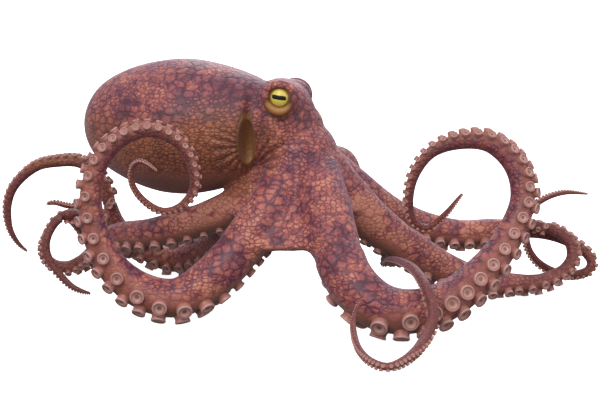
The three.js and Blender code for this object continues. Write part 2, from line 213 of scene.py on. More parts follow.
def eye_point(side: Side, outward_mm: float = 0.0) -> np.ndarray:
    """Point on the line through both eyes, in mm, a little way out from an eye dome's centre."""
    return np.array(EYE_CENTRE_MM) + EYE_LINE * side.value * (EYE_APART_MM + outward_mm)


def add_tube(bm: BMesh, rings: np.ndarray) -> None:
    """Add a closed tube through rings of points.

    Args:
        bm: Mesh that takes the tube.
        rings: Points in metres, as rings by sides by three.
    """
    count, sides = rings.shape[:2]
    made = bmesh.ops.create_grid(bm, x_segments=sides, y_segments=count - 1, size=1.0)["verts"]
    for i, vert in enumerate(made):
        row, column = divmod(i, sides + 1)
        vert.co = rings[row, column % sides]
    bmesh.ops.remove_doubles(bm, verts=made, dist=MERGE)
    made = [vert for vert in made if vert.is_valid]
    rims = list({edge for vert in made for edge in vert.link_edges if edge.is_boundary})
    caps = bmesh.ops.holes_fill(bm, edges=rims, sides=0)["faces"]
    faces = list({face for vert in made for face in vert.link_faces} | set(caps))
    bmesh.ops.recalc_face_normals(bm, faces=faces)


def finished_object(name: str, bm: BMesh) -> Object:
    """Put a mesh into the scene, shaded smooth and at the origin.

    Args:
        name: Name of the object and of its mesh.
        bm: The mesh, which is freed.

    Returns:
        The new object.
    """
    mesh = bpy.data.meshes.new(name)
    bm.to_mesh(mesh)
    bm.free()
    mesh.shade_smooth()
    made = bpy.data.objects.new(name, mesh)
    bpy.context.scene.collection.objects.link(made)
    return made


def with_modifiers_applied(made: Object) -> None:
    """Replace an object's mesh by what its modifiers make of it, and drop them.

    Args:
        made: The object.
    """
    graph = bpy.context.evaluated_depsgraph_get()
    mesh = bpy.data.meshes.new_from_object(made.evaluated_get(graph))
    mesh.name = made.name
    made.modifiers.clear()
    old = made.data
    made.data = mesh
    bpy.data.meshes.remove(old)


# ------------------------------------------------------------------ finishes


@dataclass(frozen=True)
class OctopusSkin:
    """Living skin, moist over cells of colour, with cobbles parted by creases."""

    # uneven clouds of dark and pale, a mosaic of small domes, and a thin painted lilac highlight
    # at the upward edges, where the skin is seen at a grazing angle
    name: str = "moist octopus skin"
    cobble_mm: float = 8.4
    pebble_mm: float = 4.4
    patch_mm: float = 30.0
    blotch_mm: float = 12.0
    grain_mm: float = 1.5
    # the cells' borders wander this far, in waves of this size
    wander_mm: float = 3.0
    wave_mm: float = 7.0
    # longer across than high
    stretch: Point = (0.84, 0.92, 1.1)
    tone_start: float = -0.765
    relief_mm: float = 0.9
    dark: str = "#572a3a"
    mauve: str = "#7d404b"
    brown: str = "#9b5148"
    pale: str = "#ba7763"
    crease: str = "#3d1a22"
    flesh: str = "#93594a"
    # drab brown of the sucker side facing down: partly the underside's own colour, partly painted
    # shade
    olive_and_shade: str = "#6b4a2c"
    gold: str = "#8f552b"
    # dark of the golden skin's creases, also laid as painted shade in the folds' valleys and
    # inside the slits
    gold_crease_and_shade: str = "#3d1d0c"
    # smooth bag and lip colour, also inside the slits, where it is painted lighter in the middle;
    # lid_edge is their darker edge, and inside the slits painted shade towards the rim
    lid: str = "#97672f"
    lid_edge: str = "#5a2f1a"
    # red-brown of the thin ends, partly their own colour and partly painted shade
    tip: str = "#69332c"
    # painted rim light: lilac grey laid on skin that faces up and is seen at a grazing angle
    rim: str = "#8d7a90"
    lilac: str = "#c9b2d2"

    def build(self) -> Material:
        """Make the material.

        Returns:
            A material that reads what paint() stores on the skin.
        """
        material, add = new_material(self.name)
        place = add("TexCoord").outputs["Object"]
        under, fine, gold, lid, fold, shade = (
            add("Attribute", {"attribute_name": word}).outputs["Fac"] for word in PAINTED
        )
        patch, blotch, grain = (
            add("TexNoise", {}, {"Vector": place, "Scale": 1 / (size * MM), "Detail": detail,
                                 "Roughness": 0.6})
            for size, detail in ((self.patch_mm, 3.0), (self.blotch_mm, 4.0), (self.grain_mm, 3.0))
        )
        warp = add("TexNoise", {}, {"Vector": place, "Scale": 1 / (self.wave_mm * MM),
                                    "Detail": 1.0})
        reach = (self.wander_mm * MM,) * 3
        bent = add("VectorMath", TIMES_ADD, (warp.outputs["Color"], reach, place))
        bent = add("VectorMath", TIMES, (bent, self.stretch))

        # pebbles in some clouds, on the thin ends and under the mantle, and cobbles elsewhere
        small = add("Math", HIGHER, (add("MapRange", SMOOTH, (patch, 0.44, 0.58)), fine))
        small = add("Math", HIGHER, (small, add("MapRange", SMOOTH, (gold, 0.8, 1.0))))
        edges, middles = [], []
        for size in (self.cobble_mm, self.pebble_mm):
            cells = {"Vector": bent, "Scale": 1 / (size * MM), "Randomness": 0.75}
            edges.append(add("TexVoronoi", {"feature": "DISTANCE_TO_EDGE"}, cells))
            middles.append(add("TexVoronoi", {}, cells))
        edge, middle = (add("Mix", {}, {0: small, 2: big, 3: little})
                        for big, little in (edges, middles))
        big, little = (node.outputs["Color"] for node in middles)
        tint = add("Mix", COLOUR, {0: small, BASE: big, OVER: little})
        chance = add("SeparateColor", {}, (tint,))
        corner = add("MapRange", SMOOTH, (middle, 0.42, 0.78))
        line = add("MapRange", SMOOTH, (edge, 0.0, 0.11, 1.0, 0.0))
        crease = add("Math", HIGHER, (line, add("Math", TIMES, (corner, 0.7))))
        rise = add("MapRange", SMOOTH, (edge, 0.0, 0.24))
        dome = add("Math", TIMES_ADD, (corner, -0.45, rise))

        # the attribute shade carries patches of the skin's own colour and of painted light and
        # shade
        tone = self.tone_start
        for share, source in ((0.55, patch), (0.6, blotch), (0.10, chance), (0.44, grain),
                              (0.13, dome), (0.7, shade)):
            tone = add("Math", TIMES_ADD, (source, share, tone))
        stops = [(0.30, self.dark), (0.42, self.mauve), (0.54, self.brown), (0.68, self.pale)]
        colour = add("ValToRGB", {"stops": stops}, (tone,))
        # dark crease lines on the upper skin, then the thin ends' red-brown, partly their own
        # colour and partly painted shade
        bare = add("Math", TIMES_ADD, (under, -0.4, 0.4))
        for share, code in ((add("Math", TIMES, (crease, bare)), self.crease),
                            (add("Math", TIMES, (fine, 0.8)), self.tip)):
            colour = add("Mix", COLOUR, {0: share, BASE: colour, OVER: code})
        golden = add("Mix", COLOUR, {0: add("Math", TIMES, (crease, 0.6)), BASE: self.gold,
                                     OVER: self.gold_crease_and_shade})
        golden = add("Mix", COLOUR, {0: 0.35, BASE: golden, OVER: colour})
        colour = add("Mix", COLOUR, {0: gold, BASE: colour, OVER: golden})
        upward = add("SeparateXYZ", {}, (add("NewGeometry").outputs["Normal"],)).outputs["Z"]
        # painted shade: drab brown on the sucker side where the skin faces down, over the
        # underside's own colour
        below = add("Math", TIMES, (add("MapRange", SMOOTH, (upward, -0.85, -0.25, 0.75, 0.0)),
                                    add("MapRange", SMOOTH, (under, 0.3, 0.9))))
        # painted rim light: lilac grey on skin that faces up and is seen at a grazing angle, none
        # on the thin ends
        grazing = add("LayerWeight", {}, {"Blend": 0.4}).outputs["Facing"]
        painted_rim_light = add("Math", TIMES, (add("MapRange", SMOOTH, (grazing, 0.6, 0.98)),
                                   add("MapRange", SMOOTH, (upward, 0.0, 0.7, 0.0, 0.5))))
        painted_rim_light = add("Math", TIMES, (painted_rim_light, add("Math", TIMES_ADD, (fine, -1.0, 1.0))))
        # lid colours, painted shade in the folds' valleys and the slits, the underside's own
        # colour, drab painted shade below, and painted rim light
        for share, code in (
            (add("MapRange", SMOOTH, (lid, 0.0, 0.5)), self.lid_edge),
            (add("MapRange", SMOOTH, (lid, 0.4, 1.0)), self.lid),
            (add("Math", TIMES, (fold, 0.6)), self.gold_crease_and_shade),
            (add("MapRange", SMOOTH, (under, 0.0, 0.7, 0.0, 0.75)), self.flesh),
            (below, self.olive_and_shade),
            (painted_rim_light, self.rim),
        ):
            colour = add("Mix", COLOUR, {0: share, BASE: colour, OVER: code})

        plain = add("Math", HIGHER, (lid, under))
        relief = add("Bump", {}, {"Distance": self.relief_mm * MM,
                                  "Height": add("Math", TIMES_ADD, (grain, 0.45, dome)),
                                  "Strength": add("Math", TIMES_ADD, (plain, -0.5, 0.575))})
        shader = add("BsdfPrincipled", {}, {
            "Base Color": colour, "Normal": relief, "IOR": 1.4,
            "Roughness": add("MapRange", SMOOTH, (grain, 0.2, 0.8, 0.38, 0.56)),
            "Coat Weight": 0.18, "Coat Roughness": 0.28, "Coat IOR": 1.35, "Sheen Weight": 0.3,
            "Sheen Roughness": 0.45, "Sheen Tint": self.lilac,
        })
        add("OutputMaterial", {}, (shader,))
        return material


@dataclass(frozen=True)
class SuckerFlesh:
    """Firm pale flesh of a sucker: smooth lip, with painted shade in its groove and dark middle.
    """

    # a soft pink ring round a darker dish, a little moist; the groove and the middle hole are
    # painted shade
    name: str = "pale sucker flesh"
    grain_mm: float = 2.2
    patch_mm: float = 30.0
    relief_mm: float = 0.3
    root: str = "#93594a"
    stem: str = "#a87068"
    lip: str = "#b98987"
    # painted shade in the groove inside the lip
    groove: str = "#84544e"
    inner: str = "#b78b80"
    # painted shade standing for a hole in the middle of the dish
    hole: str = "#7b4c45"
    stain: str = "#8f5a4d"

    def build(self) -> Material:
        """Make the material.

        Returns:
            A material that reads the attribute profile, from 0 at a cup's root to 1 in its middle.
        """
        material, add = new_material(self.name)
        place = add("TexCoord").outputs["Object"]
        profile = add("Attribute", {"attribute_name": "profile"}).outputs["Fac"]
        # from root to middle: flesh, lip, the groove's painted shade, pale dish and the hole's
        # painted shade
        stops = [(0.08, self.root), (0.26, self.stem), (0.40, self.lip), (0.54, self.lip),
                 (0.64, self.groove), (0.74, self.inner), (0.88, self.inner), (1.0, self.hole)]
        grain, patch = (
            add("TexNoise", {}, {"Vector": place, "Scale": 1 / (size * MM), "Detail": detail})
            for size, detail in ((self.grain_mm, 3.0), (self.patch_mm, 2.0))
        )
        colour = add("Mix", COLOUR, {0: add("MapRange", {}, (patch, 0.4, 0.7, 0.0, 0.5)),
                                     BASE: add("ValToRGB", {"stops": stops}, (profile,)),
                                     OVER: self.stain})
        relief = add("Bump", {}, {"Strength": 0.25, "Distance": self.relief_mm * MM,
                                  "Height": grain})
        shader = add("BsdfPrincipled", {}, {
            "Base Color": colour, "Normal": relief, "IOR": 1.4, "Roughness": 0.42,
            "Coat Weight": 0.15, "Coat Roughness": 0.3, "Sheen Weight": 0.15,
        })
        add("OutputMaterial", {}, (shader,))
        return material


@dataclass(frozen=True)
class PaleFloor:
    """Matt white paper of a studio's floor."""

    # even white to the horizon, with only a soft shade under the animal
    name: str = "matt white studio paper"
    white: str = "#f4f3f1"
    glow: str = "#ffffff"
    fibre_mm: float = 2.0
    relief_mm: float = 0.1

    def build(self) -> Material:
        """Make the material.

        Returns:
            The finished material.
        """
        material, add = new_material(self.name)
        place = add("TexCoord").outputs["Object"]
        fibre = add("TexNoise", {}, {"Vector": place, "Scale": 1 / (self.fibre_mm * MM)})
        relief = add("Bump", {}, {"Strength": 0.03, "Distance": self.relief_mm * MM,
                                  "Height": fibre})
        shader = add("BsdfPrincipled", {}, {
            "Base Color": self.white, "Normal": relief, "Roughness": 0.9,
            "Emission Color": self.glow, "Emission Strength": 0.9,
        })
        add("OutputMaterial", {}, (shader,))
        return material


@dataclass(frozen=True)
class EyeGloss:
    """Wet clear cornea over a brassy iris with a black bar of a pupil."""

    # a sharp highlight on yellow, and a level black slot with round ends
    name: str = "wet octopus eye"
    pupil_mm: tuple[float, float] = (7.2, 2.2)
    pupil_rise_mm: float = 0.7
    tilt: float = -0.14
    iris_mm: float = 9.7
    fibre_mm: float = 1.1111
    pale: str = "#dac45c"
    deep: str = "#a98a34"
    rim: str = "#2f2a1c"
    white: str = "#8b7a3c"
    black: str = "#070606"

    def build(self) -> Material:
        """Make the material.

        Returns:
            A material that reads the attribute gaze: along, up and out in mm from the eyeball's
            middle.
        """
        material, add = new_material(self.name)
        gaze = add("Attribute", {"attribute_name": "gaze"}).outputs["Vector"]
        axes = add("SeparateXYZ", {}, (gaze,)).outputs
        along, rise = axes["X"], axes["Y"]
        # the bar's middle line leans, and lies a little above the eye's
        level = add("Math", TIMES_ADD, (along, -self.tilt, -self.pupil_rise_mm))
        level = add("Math", {"operation": "ADD"}, (rise, level))
        wide, tall = (
            add("Math", POWER, (add("Math", {"operation": "ABSOLUTE"},
                                    (add("Math", TIMES, (source, 1 / half)),)), power))
            for source, half, power in zip((along, level), self.pupil_mm, (6.0, 4.0))
        )
        bar = add("Math", {"operation": "ADD"}, (wide, tall))
        bar = add("MapRange", {}, (bar, 0.85, 1.15, 1.0, 0.0))
        reach = add("VectorMath", {"operation": "LENGTH"}, (add("CombineXYZ", {}, (along, rise)),))
        share = add("Math", TIMES, (reach.outputs["Value"], 1 / self.iris_mm))
        fibres = add("TexNoise", {}, {"Vector": gaze, "Scale": 1 / self.fibre_mm, "Detail": 4.0})
        stops = [(0.0, self.pale), (0.72, self.pale), (0.88, self.deep), (0.97, self.rim),
                 (1.0, self.white)]
        colour = add("ValToRGB", {"stops": stops}, (share,))
        for amount, code in ((add("Math", TIMES, (fibres, 0.35)), self.deep), (bar, self.black)):
            colour = add("Mix", COLOUR, {0: amount, BASE: colour, OVER: code})
        shader = add("BsdfPrincipled", {}, {
            "Base Color": colour, "Roughness": 0.35, "Specular IOR Level": 0.25,
            "Coat Weight": 0.35, "Coat Roughness": 0.05,
        })
        add("OutputMaterial", {}, (shader,))
        return material


# ------------------------------------------------------------------ arms


def smooth_line(points: np.ndarray, steps: int = 32) -> np.ndarray:
    """Run a centripetal Catmull-Rom curve through points.

    Args:
        points: The points, one to a row.
        steps: Samples between neighbouring points.

    Returns:
        Samples along the curve, from the first point to the last.
    """
    held = np.vstack((2 * points[0] - points[1], points, 2 * points[-1] - points[-2]))
    share = np.linspace(0.0, 1.0, steps, endpoint=False)[:, None]
    runs = []
    for a, b, c, d in zip(held, held[1:], held[2:], held[3:]):
        ab, bc, cd = (np.linalg.norm(q - p) ** 0.5 for p, q in ((a, b), (b, c), (c, d)))
        start = ((b - a) / ab - (c - a) / (ab + bc) + (c - b) / bc) * bc
        end = ((c - b) / bc - (d - b) / (bc + cd) + (d - c) / cd) * bc
        runs.append(b + start * share + (3 * (c - b) - 2 * start - end) * share ** 2
                    + (2 * (b - c) + start + end) * share ** 3)
    return np.vstack((*runs, points[-1:]))


@dataclass(frozen=True)
class ArmFrames:
    """Places along an arm in mm, and the directions there, one to a row."""

    points: np.ndarray
    tangents: np.ndarray
    suckers: np.ndarray
    sides: np.ndarray
    radii: np.ndarray

    def ring(self, sides: int, grow: np.ndarray | float = 0.0) -> np.ndarray:
        """Rings of points round the arm.

        Args:
            sides: Points in a ring.
            grow: Millimetres added to the radii.

        Returns:
            Points in mm, as rings by sides by three.
        """
        turn = circle(sides)
        radii = (self.radii + grow)[:, None, None]
        across = np.cos(turn)[None, :, None] * self.suckers[:, None]
        beside = np.sin(turn)[None, :, None] * self.sides[:, None]
        return self.points[:, None] + radii * (across + beside)


@dataclass(frozen=True)
class Arm:
    """One arm: its line, taper, and the way its suckers face.

    Args:
        name: Name shared by the arm's solids.
        parts: How many solids it has.
        radii_mm: Places along it and the radius there.
        outside_from_mm: Where its suckers start to follow the outside of its bends.
        facing: Places along it and how far the suckers turn towards -Y there.
        path_mm: Points that its middle line passes.
        gaps_mm: For row 1 and row -1, places along it and the way from cup to cup there; without
            them the arm's radius sets it.
        cups_mm: A place along it where a cup of row 1 sits, and one of row -1.
    """

    name: str
    parts: int
    radii_mm: Table
    outside_from_mm: float
    facing: Table
    path_mm: tuple[Point, ...]
    gaps_mm: tuple[Table, ...] = ()
    cups_mm: tuple[float, float] = (0.0, 0.0)
    bend_window_mm: float = 28.0
    roll_length_mm: float = 60.0

    def line(self) -> tuple[np.ndarray, np.ndarray]:
        """Sample the middle line.

        Returns:
            Points in mm, and the length along the arm of each.
        """
        points = smooth_line(np.array(self.path_mm, float))
        steps = np.linalg.norm(np.diff(points, axis=0), axis=1)
        return points, np.concatenate(((0.0,), np.cumsum(steps)))

    def total_mm(self) -> float:
        """Length of the arm's middle line."""
        return float(self.line()[1][-1])

    def frames(self, lengths: np.ndarray) -> ArmFrames:
        """Work out the arm's places and directions at some lengths.

        Args:
            lengths: Lengths along the arm in mm.

        Returns:
            The frames there.
        """
        points, run = self.line()

        def at(where: np.ndarray) -> np.ndarray:
            """Points of the line."""
            return np.stack([np.interp(where, run, points[:, k]) for k in range(3)], axis=1)

        def heading(where: np.ndarray) -> np.ndarray:
            """Directions of the line."""
            held = np.clip(where, 1.0, run[-1] - 1.0)
            return unit(at(held + 1.0) - at(held - 1.0))

        def squared(vectors: np.ndarray) -> np.ndarray:
            """Make directions square to the line."""
            along = np.sum(vectors * tangents, axis=1, keepdims=True)
            return unit(vectors - tangents * along)

        tangents = heading(lengths)
        window, start = self.bend_window_mm, self.outside_from_mm
        outside = unit(heading(lengths - window) - heading(lengths + window))
        roll = smoothstep(lengths, start, start + self.roll_length_mm)[:, None]
        suckers = squared(-UP * (1 - roll) + outside * roll)
        suckers[:, 1] -= np.interp(lengths, *zip(*self.facing))
        suckers = squared(suckers)
        radii = np.interp(lengths, *zip(*self.radii_mm))
        return ArmFrames(at(lengths), tangents, suckers, np.cross(tangents, suckers), radii)


ARMS = (
    Arm(
        name="arm_right_1",
        parts=7,
        radii_mm=((0, 28), (192, 23), (354, 13.8), (490, 7.8), (519, 5.9), (633, 2.9), (665, 1.2)),
        outside_from_mm=190,
        facing=(
            (0, 0), (60, -0.2), (110, -0.4), (180, 0), (205, 1.1), (240, 1.5), (272, 2.3),
            (309, 3.2), (330, 3.8), (350, 3.2), (370, 2.3), (386, 1.6), (416, 0.6), (450, 0.3),
            (520, 0.1), (660, 0.1),
        ),
        path_mm=(
            (10, 40, 150), (24, -5, 116), (34, -40, 83), (50, -72, 51.5), (77, -85, 31),
            (109, -87, 27.5), (144, -78, 38), (178, -60, 62), (205, -40, 93), (218, -28, 128),
            (210, -20, 158.5), (185.5, -16, 179.5), (155, -14, 180.5), (129, -14, 170),
            (112.5, -14, 147), (108, -12, 120), (114, -6, 99), (127, -4, 93), (142, -8, 105),
            (161, -14, 130),
        ),
        gaps_mm=(
            ((100, 13), (150, 15), (214, 15.5), (245, 17), (300, 19), (345, 18.5), (365, 15),
             (386, 13), (400, 11.8), (430, 11), (480, 10.5), (510, 9.5), (540, 8.5), (572, 7.3),
             (600, 5.5), (640, 3), (665, 2)),
            ((100, 14), (139, 17), (160, 22), (205, 22), (230, 18), (262, 17), (300, 20),
             (360, 21), (380, 15.5), (415, 12.5), (430, 11.3), (480, 11), (510, 9.8), (540, 8.8),
             (572, 7.5), (600, 5.5), (640, 3), (665, 2)),
        ),
        cups_mm=(299, 371),
    ),
    Arm(
        name="arm_right_2",
        parts=7,
        radii_mm=((0, 28), (228, 18), (347, 10.2), (491, 5.1), (558, 3.4), (630, 2.1), (650, 1.1)),
        outside_from_mm=180,
        facing=(
            (0, 0), (60, -0.2), (135, -0.2), (160, 0), (175, 0.5), (190, 0.95), (226, 1.7),
            (254, 2.4), (279, 2.8), (302, 2.1), (339, 1.05), (362, 0.7), (392, 0.5), (480, 0.5),
            (520, 0.6), (660, 0.3),
        ),
        path_mm=(
            (-4, 40, 150), (-24, 10, 116), (-54, -10, 80), (-85, -23, 48), (-122, -29, 27),
            (-158, -30, 35), (-187, -30, 61), (-202, -30, 97), (-204, -30, 137), (-191, -28, 169),
            (-167, -26, 189), (-143, -24, 193), (-119, -22, 181), (-106, -20, 159),
            (-104.5, -18, 135), (-119, -16, 116), (-136, -16, 112), (-155, -18, 124),
            (-165, -22, 142), (-163, -26, 158), (-155, -30, 163), (-138, -34, 153.5),
        ),
        gaps_mm=(
            ((100, 13), (131, 16.5), (182, 16.5), (217, 23), (240, 26.5), (290, 21.5),
             (345, 19.5), (370, 14.5), (400, 12), (430, 9.8), (490, 9.8), (515, 8.5), (540, 6),
             (575, 4.2), (620, 2.8), (650, 1.8)),
            ((100, 12), (150, 13.5), (176, 14.5), (206, 16), (346, 16), (360, 12.5), (375, 10.5),
             (430, 9.2), (490, 9), (515, 8), (540, 6), (575, 4.2), (620, 2.8), (650, 1.8)),
        ),
        cups_mm=(254, 253),
    ),
    Arm(
        name="arm_right_3",
        parts=5,
        radii_mm=(
            (0, 26), (84, 19.5), (232, 13.1), (397, 4), (411, 3.6), (486, 2.9), (499, 2.6),
            (509, 1.3),
        ),
        outside_from_mm=320,
        facing=((0, 0), (100, 0.2), (200, 0.4), (330, 0.4), (430, 0), (525, -0.1)),
        path_mm=(
            (-8, 50, 148), (-39, 46, 123), (-75, 56, 100), (-116, 72, 83), (-158, 92, 69.5),
            (-196, 126, 60.5), (-215, 150, 47.5), (-232, 172, 30.5), (-248, 188, 17),
            (-265, 194, 10), (-280, 194, 13), (-289, 192, 23), (-291, 190, 35), (-287, 188, 46),
            (-281, 186, 57.5), (-272, 184, 67.5), (-261, 182, 71.5), (-247, 178, 73.5),
            (-240, 172, 79.5), (-246, 167, 83.5), (-260, 164, 86), (-272, 162, 89.5),
            (-282, 160, 88),
        ),
    ),
    Arm(
        name="arm_right_4",
        parts=6,
        radii_mm=(
            (0, 26), (54, 22), (190, 17.5), (310, 8.8), (336, 7.9), (518, 4), (553, 2.2), (567, 1),
        ),
        outside_from_mm=240,
        facing=((0, 0), (110, 0.4), (160, 1), (240, 1), (290, 0.3), (350, -0.1), (560, -0.15)),
        path_mm=(
            (-8, 70, 140), (-40, 95, 104), (-77, 135, 63), (-113, 180, 29), (-151, 206, 17),
            (-184, 212, 31), (-208, 209, 57), (-217, 208, 81), (-223.5, 206, 104),
            (-239, 206, 123), (-253, 206, 129.5), (-276, 206, 129), (-296, 206, 125),
            (-313, 206, 113.5), (-326, 206, 98.5), (-332, 206, 82), (-333, 206, 66.5),
            (-330, 206, 49.5), (-321, 206, 34), (-311, 206, 25),
        ),
    ),
    Arm(
        name="arm_left_1",
        parts=4,
        radii_mm=(
            (0, 27), (235, 13), (259, 10.1), (309, 8.1), (325, 6.8), (397, 5.9), (410, 5.5),
            (422, 4.5), (436, 3.3), (451, 1.3),
        ),
        outside_from_mm=230,
        facing=(
            (0, 0), (60, -0.1), (120, -0.1), (185, 0.2), (215, 0.6), (280, 0.5), (340, 0.15),
            (430, 0),
        ),
        path_mm=(
            (19, 50, 148), (46, 44, 118), (75, 48, 89), (115, 58, 59), (158, 72, 33),
            (203, 84, 16), (225, 92, 15), (242, 95, 13.5), (258, 99, 14), (273, 105, 18),
            (286, 112, 24), (295, 119, 33.5), (297, 124, 41.5), (295, 128, 50.5), (287, 131, 58.5),
            (276, 134, 64.5), (264, 138, 67), (252, 140, 70.5), (245, 145, 79), (243, 151, 91),
            (246, 158, 103.5),
        ),
    ),
    Arm(
        name="arm_left_2",
        parts=6,
        radii_mm=(
            (0, 26), (102, 18.5), (240, 13.3), (286, 8.4), (322, 6.6), (385, 4.5), (476, 3.5),
            (514, 3.4), (549, 2.5), (577, 0.8),
        ),
        outside_from_mm=240,
        facing=((0, 0), (120, 0.55), (220, 0.5), (300, 0.15), (590, 0)),
        path_mm=(
            (19, 65, 146), (53, 85, 120), (91, 112, 91), (131, 138, 69), (177, 156, 57),
            (211, 158, 59), (235, 158, 60.5), (257, 156, 59.5), (275, 155, 56.5), (291, 154, 51),
            (306, 153, 43), (318, 152, 34), (323, 150, 25), (320, 148, 17), (309, 147, 12.5),
            (294, 145, 12), (277, 142, 17.5), (260, 136, 29.5), (250, 130, 44), (246, 124, 59.5),
            (246, 119, 78), (253, 116, 94), (266, 116, 103), (285, 116, 108.5), (312, 118, 106.5),
        ),
    ),
    Arm(
        name="arm_left_3",
        parts=9,
        radii_mm=(
            (0, 24), (35, 18.6), (174, 14), (287, 7), (312, 4.8), (333, 3.4), (352, 2.5),
            (374, 2.4), (437, 3.5), (553, 5.2), (723, 2.2), (743, 0.9),
        ),
        outside_from_mm=540,
        facing=((0, 0), (100, 0.2), (250, 0.2), (540, 0.1), (600, 0.3), (775, 0.1)),
        path_mm=(
            (13, 75, 141), (24, 108, 142), (44.5, 140, 137), (59, 171, 104), (84, 196, 66),
            (110, 186, 44), (112, 150, 38), (102, 112, 38), (92, 90, 42), (88, 69, 44),
            (88, 50, 44.5), (90, 30, 53.5), (96, 5, 58.5), (103, -30, 62.5), (110, -65, 64),
            (115, -90, 60.5), (119, -109, 53.5), (123, -121, 41), (122, -133, 29.5),
            (115, -149, 19.5), (105, -169, 12), (91, -186, 6), (77, -196, 4), (64, -187, 6),
            (54, -168, 11.5), (50, -145, 19.5), (50, -126, 29.5), (56, -113, 44),
        ),
    ),
    Arm(
        name="arm_left_4",
        parts=6,
        radii_mm=(
            (0, 24), (104, 18.5), (229, 14.5), (340, 9.4), (431, 7.1), (457, 7), (476, 5.1),
            (488, 4.5), (528, 4.3), (561, 3.1), (574, 2.3), (587, 1),
        ),
        outside_from_mm=440,
        facing=((0, 0), (100, 0.2), (300, 0.2), (420, 0), (470, -1.2), (590, -0.8)),
        path_mm=(
            (0, 75, 139), (-11, 120, 127), (-35, 165, 103), (-74, 205, 68), (-114, 236, 39),
            (-150, 249, 27), (-183, 245, 24), (-214, 228, 31), (-235, 190, 50), (-243, 153, 71),
            (-247, 130, 82), (-255, 122, 82), (-262, 120, 78.5), (-269, 118, 69.5),
            (-274, 114, 57), (-274, 112, 44), (-269, 110, 33), (-259, 107, 20), (-247, 103, 9),
            (-236, 99, 4.5), (-224, 94, 2.5),
        ),
    ),
)


@dataclass(frozen=True)
class WebPanel:
    """Stretch of web between two neighbouring arms.

    Args:
        arms: Numbers of the two arms in ARMS.
        reach_mm: How far it runs along them.
        scoop: Share of that by which its free edge is cut back in the middle.
    """

    arms: tuple[int, int]
    reach_mm: float
    scoop: float


WEB = (
    WebPanel((0, 1), 122, 0.01),
    WebPanel((1, 2), 92, 0.14),
    WebPanel((2, 3), 90, 0.16),
    WebPanel((3, 7), 96, 0.14),
    WebPanel((7, 6), 92, 0.20),
    WebPanel((6, 5), 84, 0.10),
    WebPanel((5, 4), 84, 0.06),
    WebPanel((4, 0), 79, 0.18),
)


# ------------------------------------------------------------------ skin


@dataclass(frozen=True)
class PaintAreas:
    """Where each painted value fades: a pair holds the two ends of a fade."""

    # distance from an arm's middle line, in radii: on the arm, and off it on the web
    arm_radii: Pair = (1.25, 1.8)
    web_radii: Pair = (1.0, 1.4)
    web_top_mm: Pair = (125.0, 150.0)
    # how squarely a point lies on the sucker side, and how far down the skin faces
    sucker_side: Pair = (0.25, 0.8)
    web_fall: Pair = (0.05, 0.5)
    arm_fall: Pair = (0.0, 0.8)
    arm_least: float = 0.55
    fine_mm: Pair = (5.5, 13.0)
    # the mantle's end at the collar, its girth, and the level up to which it is golden
    collar_mm: Pair = (-4.0, 8.0)
    girth_mm: Pair = (74.0, 84.0)
    level_mm: float = 8.0
    level_rise_mm: float = 14.0
    level_span_mm: Pair = (-90.0, -30.0)
    level_blur_mm: Pair = (-26.0, 16.0)
    # round a slit, where its rim is 1: gold, then the lip and the inside, which is painted lighter
    # in its middle and darker towards its rim and back as painted light and shade
    slit_mm: Pair = (24.0, 44.0)
    slit_top_mm: Pair = (2.0, 22.0)
    slit_gold: float = 0.7
    slit_inside: float = 1.01
    lip: Pair = (1.15, 1.5)
    lip_end_mm: float = 4.0
    lip_lid: float = 0.6
    glow: Pair = (0.4, 1.0)
    glow_least: float = 0.65
    shade_mm: Pair = (-8.0, -2.0)
    shade: float = 0.8
    # the bag below an eye, and the rim round it
    bag_mm: Pair = (12.5, 22.5)
    bag_top_mm: Pair = (-8.0, 3.0)
    bag_ahead_mm: Pair = (2.0, 16.0)
    bag_fade: float = 0.45
    rim_mm: Pair = (9.0, 14.0)
    rim_lid: float = 0.45


